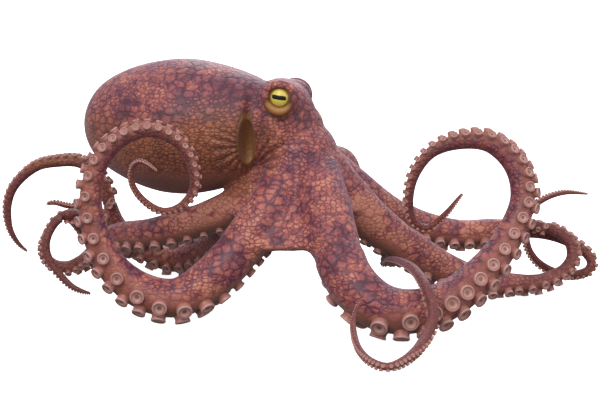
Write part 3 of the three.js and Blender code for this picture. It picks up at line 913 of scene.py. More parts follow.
@dataclass
class Skin:
    """One skin over mantle, head, web, siphon and arms."""

    shift: np.ndarray
    finish: OctopusSkin = OctopusSkin()
    areas: PaintAreas = PaintAreas()
    voxel_mm: float = 2.3
    sliver_mm: float = 0.2
    smoothing: int = 16
    mantle_length_mm: float = 200.0
    mantle_tilt_deg: float = 2.4
    mantle_collar_mm: Point = (-41.0, 61.0, 188.5)
    mantle_side_scale: float = 0.94
    mantle_sides: int = 64
    mantle_profile_mm: Table = (
        (0.0, 0.0), (6.0, 20.5), (22.0, 42.0), (50.0, 58.0), (84.0, 68.3), (118.0, 71.2),
        (146.0, 67.5), (176.0, 59.0), (200.0, 49.5),
    )
    # place from the tip, and how far the middle line rises there
    mantle_rise_mm: Table = (
        (0.0, 1.0), (40.0, 0.8), (90.0, -1.6), (150.0, -1.5), (200.0, -0.8),
    )
    balls_mm: tuple[tuple[Point, Point], ...] = (
        ((-19.0, 53.0, 190.0), (37.0, 39.0, 48.0)),
        ((4.0, 50.0, 156.0), (35.0, 42.0, 39.0)),
        ((5.0, 50.0, 188.0), (18.0, 28.0, 22.0)),
        ((2.0, 54.0, 126.0), (46.0, 44.0, 34.0)),
        ((-42.0, 61.0, 188.0), (30.0, 38.0, 47.5)),
    )
    eye_dome_mm: Point = (19.5, 18.0, 17.0)
    root_end_mm: float = 126.0
    arm_start_mm: float = 98.0
    join_mm: float = 112.0
    join_reach_mm: float = 16.0
    join_half_mm: float = 13.0
    join_rounds: int = 8
    root_grid: tuple[int, int] = (40, 24)
    # share of its radius by which an arm's end is drawn in inside the web, and at its tip
    tuck: float = 0.3
    tip_tuck: float = 0.6
    tuck_end_mm: float = 114.0
    # how far from the tip that begins, in radii
    tip_reach: float = 1.2
    arm_sides: int = 28
    arm_step_mm: float = 3.6
    # where the arms' middle lines are sampled for the paint: from where, and how far apart
    samples_mm: Pair = (30.0, 3.0)
    web_start_mm: float = 12.0
    web_root_mm: float = 26.0
    web_edge_mm: float = 9.0
    web_grid: tuple[int, int] = (12, 9)
    web_rise: float = 0.4
    slit_offset_mm: Point = (2.0, 44.0, -17.0)
    slit_radii_mm: Point = (8.0, 16.0, 29.0)
    fold_reach_mm: float = 46.0
    fold_height_mm: float = 0.8
    # share of that reach beyond which they fade
    fold_full: float = 0.6
    fold_counts: Pair = (34.0, 26.0)
    # they start clear of the slit's middle plane and of its rim, and end below the head
    fold_start_mm: Pair = (3.0, 8.0)
    fold_rim: Pair = (1.05, 1.3)
    fold_top_mm: Pair = (4.0, 24.0)
    lid_grid: tuple[int, int] = (64, 16)
    # beside the eye, above it and below it
    lid_opening_mm: Point = (9.8, 8.6, 8.7)
    lid_thick_mm: Point = (4.2, 4.4, 6.2)
    lid_out_mm: Point = (5.2, 6.6, 4.9)
    siphon_base_mm: Point = (-27.0, 90.0, 130.0)
    siphon_direction: Point = (-0.62, 0.7, -0.36)
    siphon_sides: int = 28
    # place along it and radius, up its outside and down its inside
    siphon_profile_mm: Table = (
        (0.0, 11.0), (12.0, 10.6), (24.0, 9.6), (38.0, 8.2), (44.5, 7.4), (46.0, 6.6),
        (45.0, 5.6), (38.0, 5.6), (30.0, 5.0), (28.0, 2.5),
    )
    # shares of a patch's reach within which it is full, and beyond which it has faded
    core_share: float = 0.3
    edge_share: float = 1.1
    # middle, reach and depth of a patch, partly the skin's own dark or pale colour and partly
    # painted light and shade that brightens shadowed places and darkens lit ones: dark below zero,
    # pale above
    patches: tuple[tuple[Point, float, float], ...] = (
        ((-122, 49, 241), 62, -0.15), ((-61, 43, 234), 36, -0.30), ((-108, 23, 207), 27, -0.55),
        ((-72, 20, 206), 26, -0.45), ((-185, 55, 218), 28, -0.35), ((-43, 33, 222), 22, -0.40),
        ((3, 75, 230), 20, -0.70), ((-38, 20, 188), 13, -0.60), ((-3, 9, 159), 24, -0.40),
        ((28, 12, 159), 24, -0.40), ((38, -70, 88), 28, -0.30), ((75, -98, 51), 26, -0.30),
        ((132, -93, 50), 28, -0.35), ((165, -72, 52), 28, -0.35), ((112, -14, 133), 34, -0.80),
        ((142, -15, 176), 34, -0.70), ((208, -34, 140), 34, -0.25), ((218, -34, 112), 26, -0.25),
        ((92, -98, 31), 18, -0.35), ((-320, 204, 33), 24, -0.50), ((-242, 99, 7), 26, -0.50),
        ((-83, -39, 65), 22, -0.15), ((-112, -46, 40), 9, -0.45), ((-126, -44, 40), 8, -0.40),
        ((-100, 19, 178), 44, 0.16), ((-138, 22, 175), 28, 0.25), ((-25, 15, 181), 11, 0.45),
        ((-30, 8, 160), 22, 0.25), ((15, 60, 203), 15, 0.40), ((-80, 42, 92), 40, 0.80),
        ((-125, 58, 87), 34, 0.35), ((-183, 200, 28), 60, 0.25), ((-90, -46, 27), 26, 0.35),
        ((-40, -38, 75), 20, 0.35), ((66, 23, 100), 30, 0.90), ((98, 97, 104), 26, 0.20),
        ((93, 36, 62), 26, 0.60), ((159, 56, 41), 30, 0.25), ((193, 144, 57), 26, 0.40),
        ((61, -98, 22), 14, 0.30), ((219, -44, 93), 20, 0.20), ((318, 147, 28), 30, 0.70),
    )

    def metres(self, points_mm: np.ndarray) -> np.ndarray:
        """Turn places in mm in the maker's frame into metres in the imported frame."""
        return np.asarray(points_mm) * MM + self.shift

    def add_ball(self, bm: BMesh, centre: np.ndarray, radii: tuple[float, ...]) -> None:
        """Add a stretched ball.

        Args:
            bm: Mesh that takes the ball.
            centre: Its middle in mm.
            radii: Its radii in mm along the heading, to the side and upwards.
        """
        place = Matrix.Translation(self.metres(centre))
        turn = Matrix.Rotation(math.radians(HEADING_DEG), 4, "Z")
        stretch = Matrix.Diagonal((*(r * MM for r in radii), 1.0))
        bmesh.ops.create_icosphere(bm, subdivisions=4, radius=1.0, matrix=place @ turn @ stretch)

    def mantle_rings(self) -> np.ndarray:
        """Work out the mantle's form.

        Returns:
            Rings of points in mm, from its tip to its collar.
        """
        profile = smooth_line(np.array(self.mantle_profile_mm), steps=6)
        turn = circle(self.mantle_sides)
        tilt = math.radians(self.mantle_tilt_deg)
        axis = FORWARD * math.cos(tilt) + UP * math.sin(tilt)
        along = (profile[:, 0] - self.mantle_length_mm)[:, None, None] * axis
        wide = profile[:, 1][:, None, None]
        side = np.cos(turn)[None, :, None] * LEFT * self.mantle_side_scale
        normal = np.cross(axis, LEFT)
        high = np.sin(turn)[None, :, None] * normal
        rise = np.interp(profile[:, 0], *zip(*self.mantle_rise_mm))[:, None, None] * normal
        return np.array(self.mantle_collar_mm) + along + rise + wide * (side + high)

    def add_web(self, bm: BMesh, panel: WebPanel) -> None:
        """Add one panel of the web as a thick skin between two arms.

        Args:
            bm: Mesh that takes the panel.
            panel: Its arms and reach.
        """
        first, second = (ARMS[i] for i in panel.arms)
        along, across = (np.linspace(0.0, 1.0, count) for count in self.web_grid)
        edge = panel.reach_mm * (1 - panel.scoop * np.sin(math.pi * across))
        lengths = self.web_start_mm + along[:, None] * (edge - self.web_start_mm)[None, :]
        a, b = (arm.frames(lengths.ravel()) for arm in (first, second))
        mix = np.tile(across, len(along))[:, None]
        rise = self.web_rise * np.repeat(along, len(across))
        a_line, b_line = (
            frames.points - frames.suckers * (rise * frames.radii)[:, None] for frames in (a, b)
        )
        middle = a_line * (1 - mix) + b_line * mix
        through = unit(np.cross(b_line - a_line, a.tangents + b.tangents))
        thinner = np.repeat(along, len(across)) * (self.web_edge_mm - self.web_root_mm)
        half = through * (self.web_root_mm + thinner)[:, None] / 2
        top = (middle + half).reshape(len(along), len(across), 3)
        under = (middle - half).reshape(len(along), len(across), 3)
        loops = np.concatenate((top, under[:, ::-1]), axis=1)
        add_tube(bm, self.metres(loops))

    def core(self) -> Object:
        """Blend mantle, head, web and arm roots into one surface.

        Returns:
            The blended surface.
        """
        bm = bmesh.new()
        add_tube(bm, self.metres(self.mantle_rings()))
        for centre, radii in self.balls_mm:
            self.add_ball(bm, np.array(centre), radii)
        for side in Side:
            self.add_ball(bm, eye_point(side), self.eye_dome_mm)
        for arm in ARMS:
            rings, sides = self.root_grid
            lengths = np.linspace(0.0, self.root_end_mm, rings)
            ease = smoothstep(lengths, self.join_mm, self.root_end_mm)
            frames = arm.frames(lengths)
            add_tube(bm, self.metres(frames.ring(sides, -self.tuck * ease * frames.radii)))
        for panel in WEB:
            self.add_web(bm, panel)
        core = finished_object("core", bm)
        remesh = core.modifiers.new("blend", "REMESH")
        remesh.mode = "VOXEL"
        remesh.voxel_size = self.voxel_mm * MM
        smooth = core.modifiers.new("smooth", "SMOOTH")
        smooth.factor = 0.5
        smooth.iterations = self.smoothing
        with_modifiers_applied(core)
        return core

    def free_arm(self, arm: Arm) -> Object:
        """Loft an arm from just inside the web to its tip.

        Args:
            arm: The arm.

        Returns:
            Its flesh as a closed tube.
        """
        total = arm.total_mm()
        steps = int((total - self.arm_start_mm) / self.arm_step_mm)
        lengths = np.linspace(self.arm_start_mm, total, steps)
        frames = arm.frames(lengths)
        start = 1 - smoothstep(lengths, self.arm_start_mm, self.tuck_end_mm)
        end = smoothstep(lengths, total - self.tip_reach * frames.radii[-1], total)
        drawn_in = frames.radii * (self.tuck * start + self.tip_tuck * end)
        bm = bmesh.new()
        add_tube(bm, self.metres(frames.ring(self.arm_sides, -drawn_in)))
        return finished_object(f"{arm.name}_flesh", bm)

    def slit_centre(self, side: Side) -> np.ndarray:
        """Find the middle of the opening between the mantle's edge and the neck.

        Args:
            side: Side of the animal.

        Returns:
            The place in mm.
        """
        ahead, out, rise = self.slit_offset_mm
        aside = LEFT * side.value * out
        return np.array(self.mantle_collar_mm) + FORWARD * ahead + aside + UP * rise

    def slit(self, side: Side) -> Object:
        """Make the cutter for the opening between the mantle's edge and the neck.

        Args:
            side: Side of the animal.

        Returns:
            The cutter.
        """
        bm = bmesh.new()
        self.add_ball(bm, self.slit_centre(side), self.slit_radii_mm)
        return finished_object(f"slit_{side.name.lower()}", bm)

    def folds(self, places: np.ndarray, side: Side) -> tuple[np.ndarray, np.ndarray]:
        """Work out the fine folds that run out from a slit.

        Args:
            places: Points in mm, one to a row.
            side: Side of the slit.

        Returns:
            The folds' wave, from -1 to 1 and fading away from the slit, and how far each point
            lies from the slit's middle, where 1 is its rim.
        """
        relative = places - self.slit_centre(side)
        along = relative @ FORWARD
        rise = relative[:, 2]
        across = relative @ LEFT
        wide, deep, high = self.slit_radii_mm
        reach = np.sqrt((along / wide) ** 2 + (across / deep) ** 2 + (rise / high) ** 2)
        # behind the slit they fan out from its middle, before it from its lower end
        fans = (np.arctan2(rise, 6.0 - 2.0 * along), np.arctan2(rise + 0.9 * high, 4.0 + along))
        behind, before = (np.sin(n * fan) for n, fan in zip(self.fold_counts, fans))
        wave = np.where(along < 0, behind, before)
        wave *= smoothstep(np.abs(along), *self.fold_start_mm)
        distance = np.linalg.norm(relative, axis=1)
        full = self.fold_full * self.fold_reach_mm
        fade = 1 - smoothstep(distance, full, self.fold_reach_mm)
        fade *= smoothstep(reach, *self.fold_rim) * (1 - smoothstep(rise, *self.fold_top_mm))
        return wave * fade, reach

    def fold_slits(self, bm: BMesh) -> None:
        """Raise the fine folds beside the slits.

        Args:
            bm: The skin.
        """
        for side in Side:
            spot = Vector(self.metres(self.slit_centre(side)))
            near = [edge for edge in bm.edges
                    if (edge.verts[0].co - spot).length < self.fold_reach_mm * MM]
            bmesh.ops.subdivide_edges(bm, edges=near, cuts=1)
            bmesh.ops.triangulate(bm, faces=[face for face in bm.faces if len(face.verts) > 4])
            bm.normal_update()
            verts = [vert for vert in bm.verts
                     if (vert.co - spot).length < self.fold_reach_mm * MM]
            places = (np.array([vert.co for vert in verts]) - self.shift) / MM
            wave, _ = self.folds(places, side)
            for vert, height in zip(verts, wave):
                vert.co += vert.normal * float(height) * self.fold_height_mm * MM

    def siphon(self) -> Object:
        """Make the funnel that leaves the neck under the mantle's edge.

        Returns:
            A hollow tube.
        """
        profile = np.array(self.siphon_profile_mm)
        along = np.array(self.siphon_direction) / np.linalg.norm(self.siphon_direction)
        beside = unit(np.cross(along, UP))
        across = np.cross(along, beside)
        turn = circle(self.siphon_sides)
        round_it = np.cos(turn)[:, None] * beside + np.sin(turn)[:, None] * across
        rings = (np.array(self.siphon_base_mm) + profile[:, :1, None] * along
                 + profile[:, 1][:, None, None] * round_it[None])
        bm = bmesh.new()
        add_tube(bm, self.metres(rings))
        return finished_object("siphon_flesh", bm)

    def eyelid(self, side: Side) -> Object:
        """Make the rim of flesh round an eye, heavier above and swollen below.

        Args:
            side: Side of the animal.

        Returns:
            The closed rim.
        """
        around, round_flesh = self.lid_grid
        turn, girth = circle(around), circle(round_flesh)
        outward = EYE_LINE * side.value
        high = np.sin(turn)
        above, below = (np.clip(high, 0, 1) ** 2, np.clip(-high, 0, 1) ** 2)

        def eased(sizes: Point) -> np.ndarray:
            """Blend a size beside, above and below the eye round the rim."""
            return sizes[0] + (sizes[1] - sizes[0]) * above + (sizes[2] - sizes[0]) * below

        thick = eased(self.lid_thick_mm)
        reach = eased(self.lid_opening_mm) + thick
        radial = np.cos(turn)[:, None] * EYE_FORWARD + high[:, None] * UP
        centre = eye_point(side, EYEBALL_OUT_MM)
        spine = centre + radial * reach[:, None] + outward * eased(self.lid_out_mm)[:, None]
        section = (np.cos(girth)[None, :, None] * radial[:, None]
                   + np.sin(girth)[None, :, None] * outward)
        rings = spine[:, None] + thick[:, None, None] * section
        bm = bmesh.new()
        made = bmesh.ops.create_grid(bm, x_segments=round_flesh, y_segments=around, size=1.0)
        made = made["verts"]
        for i, vert in enumerate(made):
            row, column = divmod(i, round_flesh + 1)
            vert.co = self.metres(rings[row % around, column % round_flesh])
        bmesh.ops.remove_doubles(bm, verts=made, dist=MERGE)
        bmesh.ops.recalc_face_normals(bm, faces=bm.faces[:])
        return finished_object(f"eyelid_{side.name.lower()}", bm)

    def nearest_arm(self, places: np.ndarray) -> tuple[np.ndarray, np.ndarray, np.ndarray]:
        """Compare points with the arms' middle lines.

        Args:
            places: Points in mm, one to a row.

        Returns:
            The nearest arm's radius, the distance from its middle line in radii, and how
            squarely the point lies on its sucker side, where 1 is the middle of that side.
        """
        start, step = self.samples_mm
        samples = [arm.frames(np.arange(start, arm.total_mm(), step)) for arm in ARMS]
        spots = np.vstack([frames.points for frames in samples])
        directions = np.vstack([frames.suckers for frames in samples])
        radii = np.concatenate([frames.radii for frames in samples])
        tree = KDTree(len(spots))
        for i, spot in enumerate(spots):
            tree.insert(spot, i)
        tree.balance()
        nearest = np.array([tree.find(place)[1] for place in places])
        offset = places - spots[nearest]
        radius = radii[nearest]
        far = np.linalg.norm(offset, axis=1) / radius
        facing = np.sum(offset * directions[nearest], axis=1) / (radius * np.maximum(far, 0.5))
        return radius, far, facing

    def pigment_and_painted_light(self, places: np.ndarray) -> np.ndarray:
        """Lay patches of the skin's own colour and of painted light and shade over even skin.

        Args:
            places: Points in mm, one to a row.

        Returns:
            The value at each: a half on even skin, less where it is dark or painted shade, more
                where pale or painted light.
        """
        value = np.full(len(places), 0.5)
        for spot, size, depth in self.patches:
            away = np.linalg.norm(places - np.array(spot), axis=1)
            value += 0.5 * depth * (1 - smoothstep(away, self.core_share * size,
                                                   self.edge_share * size))
        return value

    def paint_arms(self, places: np.ndarray, fall: np.ndarray) -> tuple[np.ndarray, np.ndarray]:
        """Find the undersides and the arms' fine ends.

        Args:
            places: Points in mm, one to a row.
            fall: How far down the skin faces at each.

        Returns:
            How much of an underside, and how fine, the skin is at each.
        """
        area = self.areas
        radius, far, facing = self.nearest_arm(places)
        close = 1 - smoothstep(far, *area.arm_radii)
        web = (1 - smoothstep(places[:, 2], *area.web_top_mm)) * smoothstep(far, *area.web_radii)
        down = area.arm_least + (1 - area.arm_least) * smoothstep(fall, *area.arm_fall)
        under = np.maximum(close * smoothstep(facing, *area.sucker_side) * down,
                           web * smoothstep(fall, *area.web_fall))
        return under, close * (1 - smoothstep(radius, *area.fine_mm))

    def paint_mantle(self, places: np.ndarray) -> np.ndarray:
        """Find the mantle's golden lower half, up to a level that rises towards its collar.

        Args:
            places: Points in mm, one to a row.

        Returns:
            How golden the skin is at each.
        """
        area = self.areas
        relative = places - np.array(self.mantle_collar_mm)
        along, rise = relative @ FORWARD, relative[:, 2]
        mantle = 1 - smoothstep(along, *area.collar_mm)
        mantle *= 1 - smoothstep(np.hypot(relative @ LEFT, rise), *area.girth_mm)
        level = area.level_mm + area.level_rise_mm * smoothstep(along, *area.level_span_mm)
        low, high = (level + blur for blur in area.level_blur_mm)
        return mantle * (1 - smoothstep(rise, low, high))

    def paint_slit(
        self, places: np.ndarray, side: Side
    ) -> tuple[np.ndarray, np.ndarray, np.ndarray]:
        """Find a slit's golden surround, its lip and inside, and the painted shade in its folds'
        valleys and inside it.

        Args:
            places: Points in mm, one to a row.
            side: Side of the slit.

        Returns:
            How golden and lid-like the skin is at each, and how much painted shade lies on it in
            the folds' valleys and inside the slit.
        """
        area = self.areas
        wave, reach = self.folds(places, side)
        relative = places - self.slit_centre(side)
        ahead = relative @ FORWARD
        near = 1 - smoothstep(np.linalg.norm(relative, axis=1), *area.slit_mm)
        rise = places[:, 2] - self.mantle_collar_mm[2]
        gold = area.slit_gold * near * (1 - smoothstep(rise, *area.slit_top_mm))
        inside = reach < area.slit_inside
        lip = (1 - smoothstep(reach, *area.lip)) * (ahead < area.lip_end_mm)
        # painted light and shade inside the slit: lighter in its middle, darker towards its rim
        glow = area.glow_least + (1 - area.glow_least) * (1 - smoothstep(reach, *area.glow))
        # painted shade inside the slit towards its back, and in the valleys between the folds
        deep = area.shade * (1 - smoothstep(ahead, *area.shade_mm))
        fold = np.maximum(np.clip(-wave, 0.0, 1.0), np.where(inside, deep, 0.0))
        return gold, np.where(inside, glow, area.lip_lid * lip), fold

    def paint_lid(self, places: np.ndarray, side: Side) -> np.ndarray:
        """Find the smooth bag below an eye and the thin rim all round it.

        Args:
            places: Points in mm, one to a row.
            side: Side of the eye.

        Returns:
            How lid-like the skin is at each.
        """
        area = self.areas
        eye = places - eye_point(side, EYEBALL_OUT_MM)
        ahead, rise = eye @ EYE_FORWARD, eye[:, 2]
        apart = np.hypot(ahead, rise)
        near = (1 - smoothstep(apart, *area.bag_mm)) * (eye @ EYE_LINE * side.value > 0)
        below = 1 - smoothstep(rise, *area.bag_top_mm)
        lower = near * below * (1 - area.bag_fade * smoothstep(ahead, *area.bag_ahead_mm))
        return np.maximum(lower, area.rim_lid * (1 - smoothstep(apart, *area.rim_mm)))

    def paint(self, mesh: Mesh) -> None:
        """Store where the skin is an underside, fine, golden or lid-like, where painted shade lies
        in the folds' valleys and the slits, and the patches of own colour and painted light.

        Args:
            mesh: The skin, which gets one attribute for each word of PAINTED.
        """
        places, normals = (np.empty(len(mesh.vertices) * 3) for _ in range(2))
        mesh.vertices.foreach_get("co", places)
        mesh.vertices.foreach_get("normal", normals)
        places = (places.reshape(-1, 3) - self.shift) / MM
        under, fine = self.paint_arms(places, -normals.reshape(-1, 3)[:, 2])
        gold = self.paint_mantle(places)
        lid, fold = (np.zeros(len(places)) for _ in range(2))
        for side in Side:
            slit_gold, slit_lid, slit_fold_shade = self.paint_slit(places, side)
            gold = np.maximum(gold, slit_gold)
            lid = np.maximum.reduce((lid, slit_lid, self.paint_lid(places, side)))
            fold = np.maximum(fold, slit_fold_shade)
        for word, values in zip(PAINTED, (under, fine, gold, lid, fold, self.pigment_and_painted_light(places))):
            layer = mesh.attributes.new(word, "FLOAT", "POINT")
            layer.data.foreach_set("value", np.clip(values, 0.0, 1.0))

    def soften_joins(self, bm: BMesh) -> None:
        """Smooth the skin where the arms leave the web.

        Args:
            bm: The skin.
        """
        joins = []
        for arm in ARMS:
            frames = arm.frames(np.array([self.join_mm]))
            joins.append((Vector(self.metres(frames.points[0])),
                          (frames.radii[0] + self.join_reach_mm) * MM,
                          Vector(frames.tangents[0])))
        half = self.join_half_mm * MM
        chosen = [
            vert for vert in bm.verts
            if any((vert.co - spot).length < reach and abs((vert.co - spot).dot(along)) < half
                   for spot, reach, along in joins)
        ]
        for _ in range(self.join_rounds):
            bmesh.ops.smooth_vert(bm, verts=chosen, factor=0.5, use_axis_x=True, use_axis_y=True,
                                  use_axis_z=True)

    def build(self) -> Object:
        """Make the skin.

        Returns:
            The finished piece.
        """
        skin = self.core()
        tools = [(self.free_arm(arm), "UNION") for arm in ARMS]
        tools.append((self.siphon(), "UNION"))
        tools += [(self.eyelid(side), "UNION") for side in Side]
        tools += [(self.slit(side), "DIFFERENCE") for side in Side]
        for tool, operation in tools:
            cut = skin.modifiers.new(tool.name, "BOOLEAN")
            cut.operation = operation
            cut.solver = "MANIFOLD"
            cut.object = tool
        with_modifiers_applied(skin)
        for tool, _ in tools:
            bpy.data.objects.remove(tool)
        bm = bmesh.new()
        bm.from_mesh(skin.data)
        bmesh.ops.dissolve_degenerate(bm, dist=self.sliver_mm * MM, edges=bm.edges[:])
        self.soften_joins(bm)
        self.fold_slits(bm)
        for vert in bm.verts:
            vert.co.z = max(vert.co.z, 0.0)
        bmesh.ops.recalc_face_normals(bm, faces=bm.faces[:])
        bm.to_mesh(skin.data)
        bm.free()
        skin.name = skin.data.name = "skin"
        skin.data.shade_smooth()
        self.paint(skin.data)
        skin.data.materials.clear()
        skin.data.materials.append(self.finish.build())
        return skin


# ------------------------------------------------------------------ suckers


@dataclass
class Suckers:
    """The two rows of cups along one arm."""

    shift: np.ndarray
    arm: Arm
    first_mm: float = 44.0
    last_mm: float = 2.0
    step_mm: float = 0.25
    # radius of the arm, and the rim's radius there
    rims_mm: Table = (
        (0.0, 0.4), (3.0, 1.4), (5.0, 2.4), (8.0, 4.1), (9.5, 4.7), (15.5, 6.0), (20.0, 7.9),
        (28.0, 9.2),
    )
    # radius of the arm, and how far the cup stands out from it there
    heights_mm: Table = (
        (0.0, 0.4), (3.0, 1.2), (5.0, 2.2), (7.5, 4.0), (10.5, 5.0), (20.0, 6.2),
    )
    # radius of the arm, and the angle of each row from the middle of the sucker side there
    row_angles_deg: Table = ((0.0, 33.0), (8.0, 33.0), (12.0, 23.0))
    # length along the arm, and the share of full size there
    growth: Table = ((40.0, 0.35), (120.0, 0.62), (160.0, 0.9), (185.0, 1.0))
    # length along the arm, and the share of the usual way from cup to cup there
    crowding: Table = ((44.0, 0.5), (120.0, 1.0))
    # radius of the arm, and the way from one cup to the next of its row there
    gaps_mm: Table = (
        (0.0, 1.6), (3.0, 3.5), (4.5, 6.0), (5.0, 8.5), (6.5, 9.5), (8.0, 12.0), (10.0, 14.5),
        (12.0, 17.5), (20.0, 20.0),
    )
    # how far the second row's cups lie behind the first row's, as a share of a gap
    lag: float = 0.35
    sides: int = 9
    merge: float = 1e-5
    # share of the rim's radius, share of the height above the flesh, and place on the profile
    outline: tuple[Point, ...] = (
        (1.30, -0.50, 0.0), (1.04, 0.06, 0.1), (0.97, 0.48, 0.26), (1.14, 0.80, 0.38),
        (1.06, 1.06, 0.50), (0.78, 1.02, 0.62), (0.60, 0.76, 0.80), (0.16, 0.66, 1.0),
    )

    def at(self, table: Table, values: np.ndarray) -> np.ndarray:
        """Read one of the tables at these radii or lengths."""
        return np.interp(values, *zip(*table))

    def places(self) -> list[tuple[float, int]]:
        """Find where the cups sit.

        Returns:
            The length along the arm and the row, 1 or -1, of each cup.
        """
        grid = np.arange(self.first_mm, self.arm.total_mm() - self.last_mm, self.step_mm)
        usual = self.at(self.gaps_mm, self.arm.frames(grid).radii)
        found = []
        for k, row in enumerate((1, -1)):
            gaps = self.at(self.arm.gaps_mm[k], grid) if self.arm.gaps_mm else usual
            gaps = gaps * self.at(self.crowding, grid)
            passed = np.cumsum(self.step_mm / gaps)
            if self.arm.gaps_mm:
                passed += 1 - np.interp(self.arm.cups_mm[k], grid, passed) % 1
            else:
                passed -= self.lag * k
            count = np.arange(1, int(passed[-1]) + 1)
            found += [(float(length), row) for length in np.interp(count, passed, grid)]
        return found

    def cup(self) -> Mesh:
        """Spin one cup.

        Returns:
            A cup with a rim of radius 1, its root at the origin and its mouth along +Z.
        """
        bm = bmesh.new()
        layer = bm.verts.layers.float.new("profile")
        line = []
        for share, height, place in self.outline:
            vert = bm.verts.new((share, 0.0, height))
            vert[layer] = place
            line.append(vert)
        edges = [bm.edges.new(pair) for pair in zip(line, line[1:])]
        bmesh.ops.spin(bm, geom=line + edges, axis=(0, 0, 1), cent=(0, 0, 0), angle=2 * math.pi,
                       steps=self.sides, use_merge=True)
        bmesh.ops.remove_doubles(bm, verts=bm.verts[:], dist=self.merge)
        rims = [edge for edge in bm.edges if edge.is_boundary]
        bmesh.ops.holes_fill(bm, edges=rims, sides=0)
        bmesh.ops.recalc_face_normals(bm, faces=bm.faces[:])
        mesh = bpy.data.meshes.new("cup")
        bm.to_mesh(mesh)
        bm.free()
        return mesh

    def build(self, material: Material) -> Object:
        """Make the arm's cups.

        Args:
            material: Finish of the cups.

        Returns:
            One piece with all the cups of the arm.
        """
        cup = self.cup()
        lengths, rows = np.array(self.places()).T
        frames = self.arm.frames(lengths)
        angles = np.radians(self.at(self.row_angles_deg, frames.radii)) * rows
        grown = self.at(self.growth, lengths) * MM
        rims = self.at(self.rims_mm, frames.radii) * grown
        heights = self.at(self.heights_mm, frames.radii) * grown
        bm = bmesh.new()
        for i, (angle, rim, height) in enumerate(zip(angles, rims, heights)):
            out = math.cos(angle) * frames.suckers[i] + math.sin(angle) * frames.sides[i]
            spot = (frames.points[i] + out * frames.radii[i]) * MM + self.shift
            turn = Vector(out).to_track_quat("Z", "Y").to_matrix().to_4x4()
            before = len(bm.verts)
            bm.from_mesh(cup)
            bm.verts.ensure_lookup_table()
            size = Matrix.Diagonal((rim, rim, height, 1.0))
            bmesh.ops.transform(bm, matrix=Matrix.Translation(spot) @ turn @ size,
                                verts=bm.verts[before:])
        for vert in bm.verts:
            vert.co.z = max(vert.co.z, 0.0)
        piece = finished_object(self.arm.name.replace("arm", "suckers"), bm)
        bpy.data.meshes.remove(cup)
        finer = piece.modifiers.new("rounding", "SUBSURF")
        finer.levels = finer.render_levels = 1
        piece.data.materials.append(material)
        return piece


# ------------------------------------------------------------------ eyes


@dataclass
class Eye:
    """One eyeball."""

    shift: np.ndarray
    side: Side
    radius_mm: float = 12.5

    def build(self, material: Material) -> Object:
        """Make the eyeball.

        Args:
            material: Finish of the eye.

        Returns:
            The eyeball as one piece.
        """
        centre = eye_point(self.side, EYEBALL_OUT_MM)
        outward = EYE_LINE * self.side.value
        bm = bmesh.new()
        bmesh.ops.create_icosphere(bm, subdivisions=5, radius=self.radius_mm)
        layer = bm.verts.layers.float_vector.new("gaze")
        for vert in bm.verts:
            place = np.array(vert.co)
            vert[layer] = (place @ EYE_FORWARD, place[2], place @ outward)
            vert.co = (place + centre) * MM + self.shift
        piece = finished_object(f"eyeball_{self.side.name.lower()}", bm)
        piece.data.materials.append(material)
        return piece


# ------------------------------------------------------------------ studio


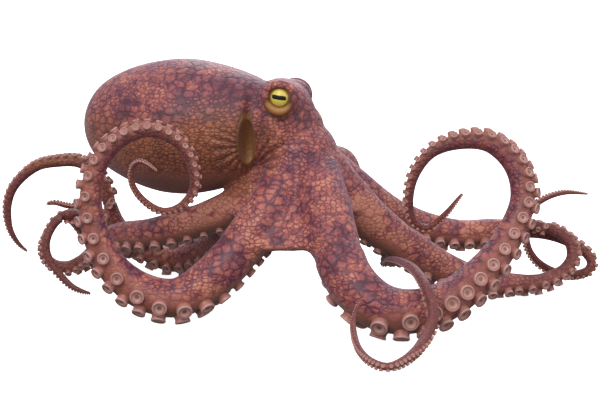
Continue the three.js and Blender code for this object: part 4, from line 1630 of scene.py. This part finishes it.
@dataclass
class Studio:
    """Plain floor, soft lights and camera."""

    shift: np.ndarray
    target_mm: Point = (0.0, 0.0, 110.0)
    distance_mm: float = 1500.0
    pitch_deg: float = 10.0
    lens_mm: float = 90.0
    floor_radius: float = 16.0
    floor_drop: float = 0.0004
    floor_sides: int = 96
    white: str = "#ffffff"
    # height of a direction from below to above, and the room's strength there
    sky_range: tuple[float, float] = (-0.6, 0.8)
    sky_strength: tuple[float, float] = (0.15, 0.78)
    # name, place in metres, side in metres and watts
    lights: tuple[tuple[str, Point, float, float], ...] = (
        ("key", (-0.8, -1.9, 1.7), 1.6, 44.0),
        ("fill", (1.8, -1.2, 0.9), 2.0, 16.0),
        ("rim", (0.3, 1.8, 1.6), 1.6, 19.0),
    )
    lights_aim: Point = (0.0, 0.0, 0.1)

    def floor(self) -> Object:
        """Make a wide round floor.

        Returns:
            The floor, which lights nothing and shows in no reflection.
        """
        bm = bmesh.new()
        bmesh.ops.create_circle(bm, cap_ends=True, segments=self.floor_sides,
                                radius=self.floor_radius)
        bmesh.ops.inset_region(bm, faces=bm.faces[:], thickness=self.floor_radius * 0.5)
        bmesh.ops.translate(bm, verts=bm.verts[:], vec=(0.0, 0.0, -self.floor_drop))
        floor = finished_object("studio_floor", bm)
        floor.data.materials.append(PaleFloor().build())
        floor.visible_diffuse = False
        floor.visible_glossy = False
        return floor

    def light(self, name: str, place: Point, size: float, power: float) -> None:
        """Add a square soft light that faces the animal.

        Args:
            name: Name of the light.
            place: Where it hangs, in metres.
            size: Side of the square in metres.
            power: Watts.
        """
        data = bpy.data.lights.new(name, "AREA")
        data.size = size
        data.energy = power
        lamp = bpy.data.objects.new(name, data)
        lamp.location = place
        way = Vector(self.lights_aim) - Vector(place)
        lamp.rotation_euler = way.to_track_quat("-Z", "Y").to_euler()
        bpy.context.scene.collection.objects.link(lamp)

    def build(self) -> None:
        """Set up floor, light and camera."""
        self.floor()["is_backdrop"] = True
        scene = bpy.context.scene
        scene.view_settings.view_transform = "Standard"
        world = bpy.data.worlds.new("white room")
        world.use_nodes = True
        world.node_tree.nodes.clear()
        add = partial(add_node, world.node_tree)
        rise = add("SeparateXYZ", {}, (add("TexCoord").outputs["Generated"],)).outputs["Z"]
        level = add("MapRange", {}, (rise, *self.sky_range, *self.sky_strength))
        glow = add("Background", {}, {"Color": self.white, "Strength": level})
        add("OutputWorld", {}, (glow,))
        scene.world = world
        for lamp in self.lights:
            self.light(*lamp)
        lens = bpy.data.cameras.new("camera")
        lens.lens = self.lens_mm
        lens.sensor_width = 36.0
        lens.clip_end = 100.0
        camera = bpy.data.objects.new("camera", lens)
        pitch = math.radians(self.pitch_deg)
        back = np.array((0.0, -math.cos(pitch), math.sin(pitch))) * self.distance_mm
        camera.location = Vector((np.array(self.target_mm) + back) * MM + self.shift)
        camera.rotation_euler = (math.radians(90.0) - pitch, 0.0, 0.0)
        scene.collection.objects.link(camera)
        scene.camera = camera


# ------------------------------------------------------------------ the animal


@dataclass
class Octopus:
    """The whole animal."""

    shift: np.ndarray

    def add(self, piece: Object, slot: str, nodes: list[str]) -> None:
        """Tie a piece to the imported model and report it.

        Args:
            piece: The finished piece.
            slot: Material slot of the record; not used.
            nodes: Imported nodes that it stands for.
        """
        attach(piece, "root")
        if nodes:
            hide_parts(*nodes)
        LOG.info("%s: %d faces", piece.name, len(piece.data.polygons))

    def build(self) -> None:
        """Make every piece."""
        lengths = [f"{arm.name}_length_{i + 1}" for arm in ARMS for i in range(arm.parts)]
        skin = Skin(self.shift).build()
        self.add(skin, "skin", ["mantle", "head", "web", "siphon", *lengths])
        flesh = SuckerFlesh().build()
        for arm in ARMS:
            self.add(Suckers(self.shift, arm).build(flesh), "skin", [])
        gloss = EyeGloss().build()
        for side in Side:
            self.add(Eye(self.shift, side).build(gloss), "eye", [f"eye_{side.name.lower()}"])


def main() -> None:
    """Build the octopus and its studio, and measure both sizes."""
    logging.basicConfig(level=logging.INFO, format="%(message)s")
    shift = packed_shift()
    Octopus(shift).build()
    Studio(shift).build()
    sizes = {"cad": CAD_BOUNDS, "visual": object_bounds()}
    json.dumps({k: [list(corner) for corner in v] for k, v in sizes.items()})


if __name__ == "__main__":
    main()
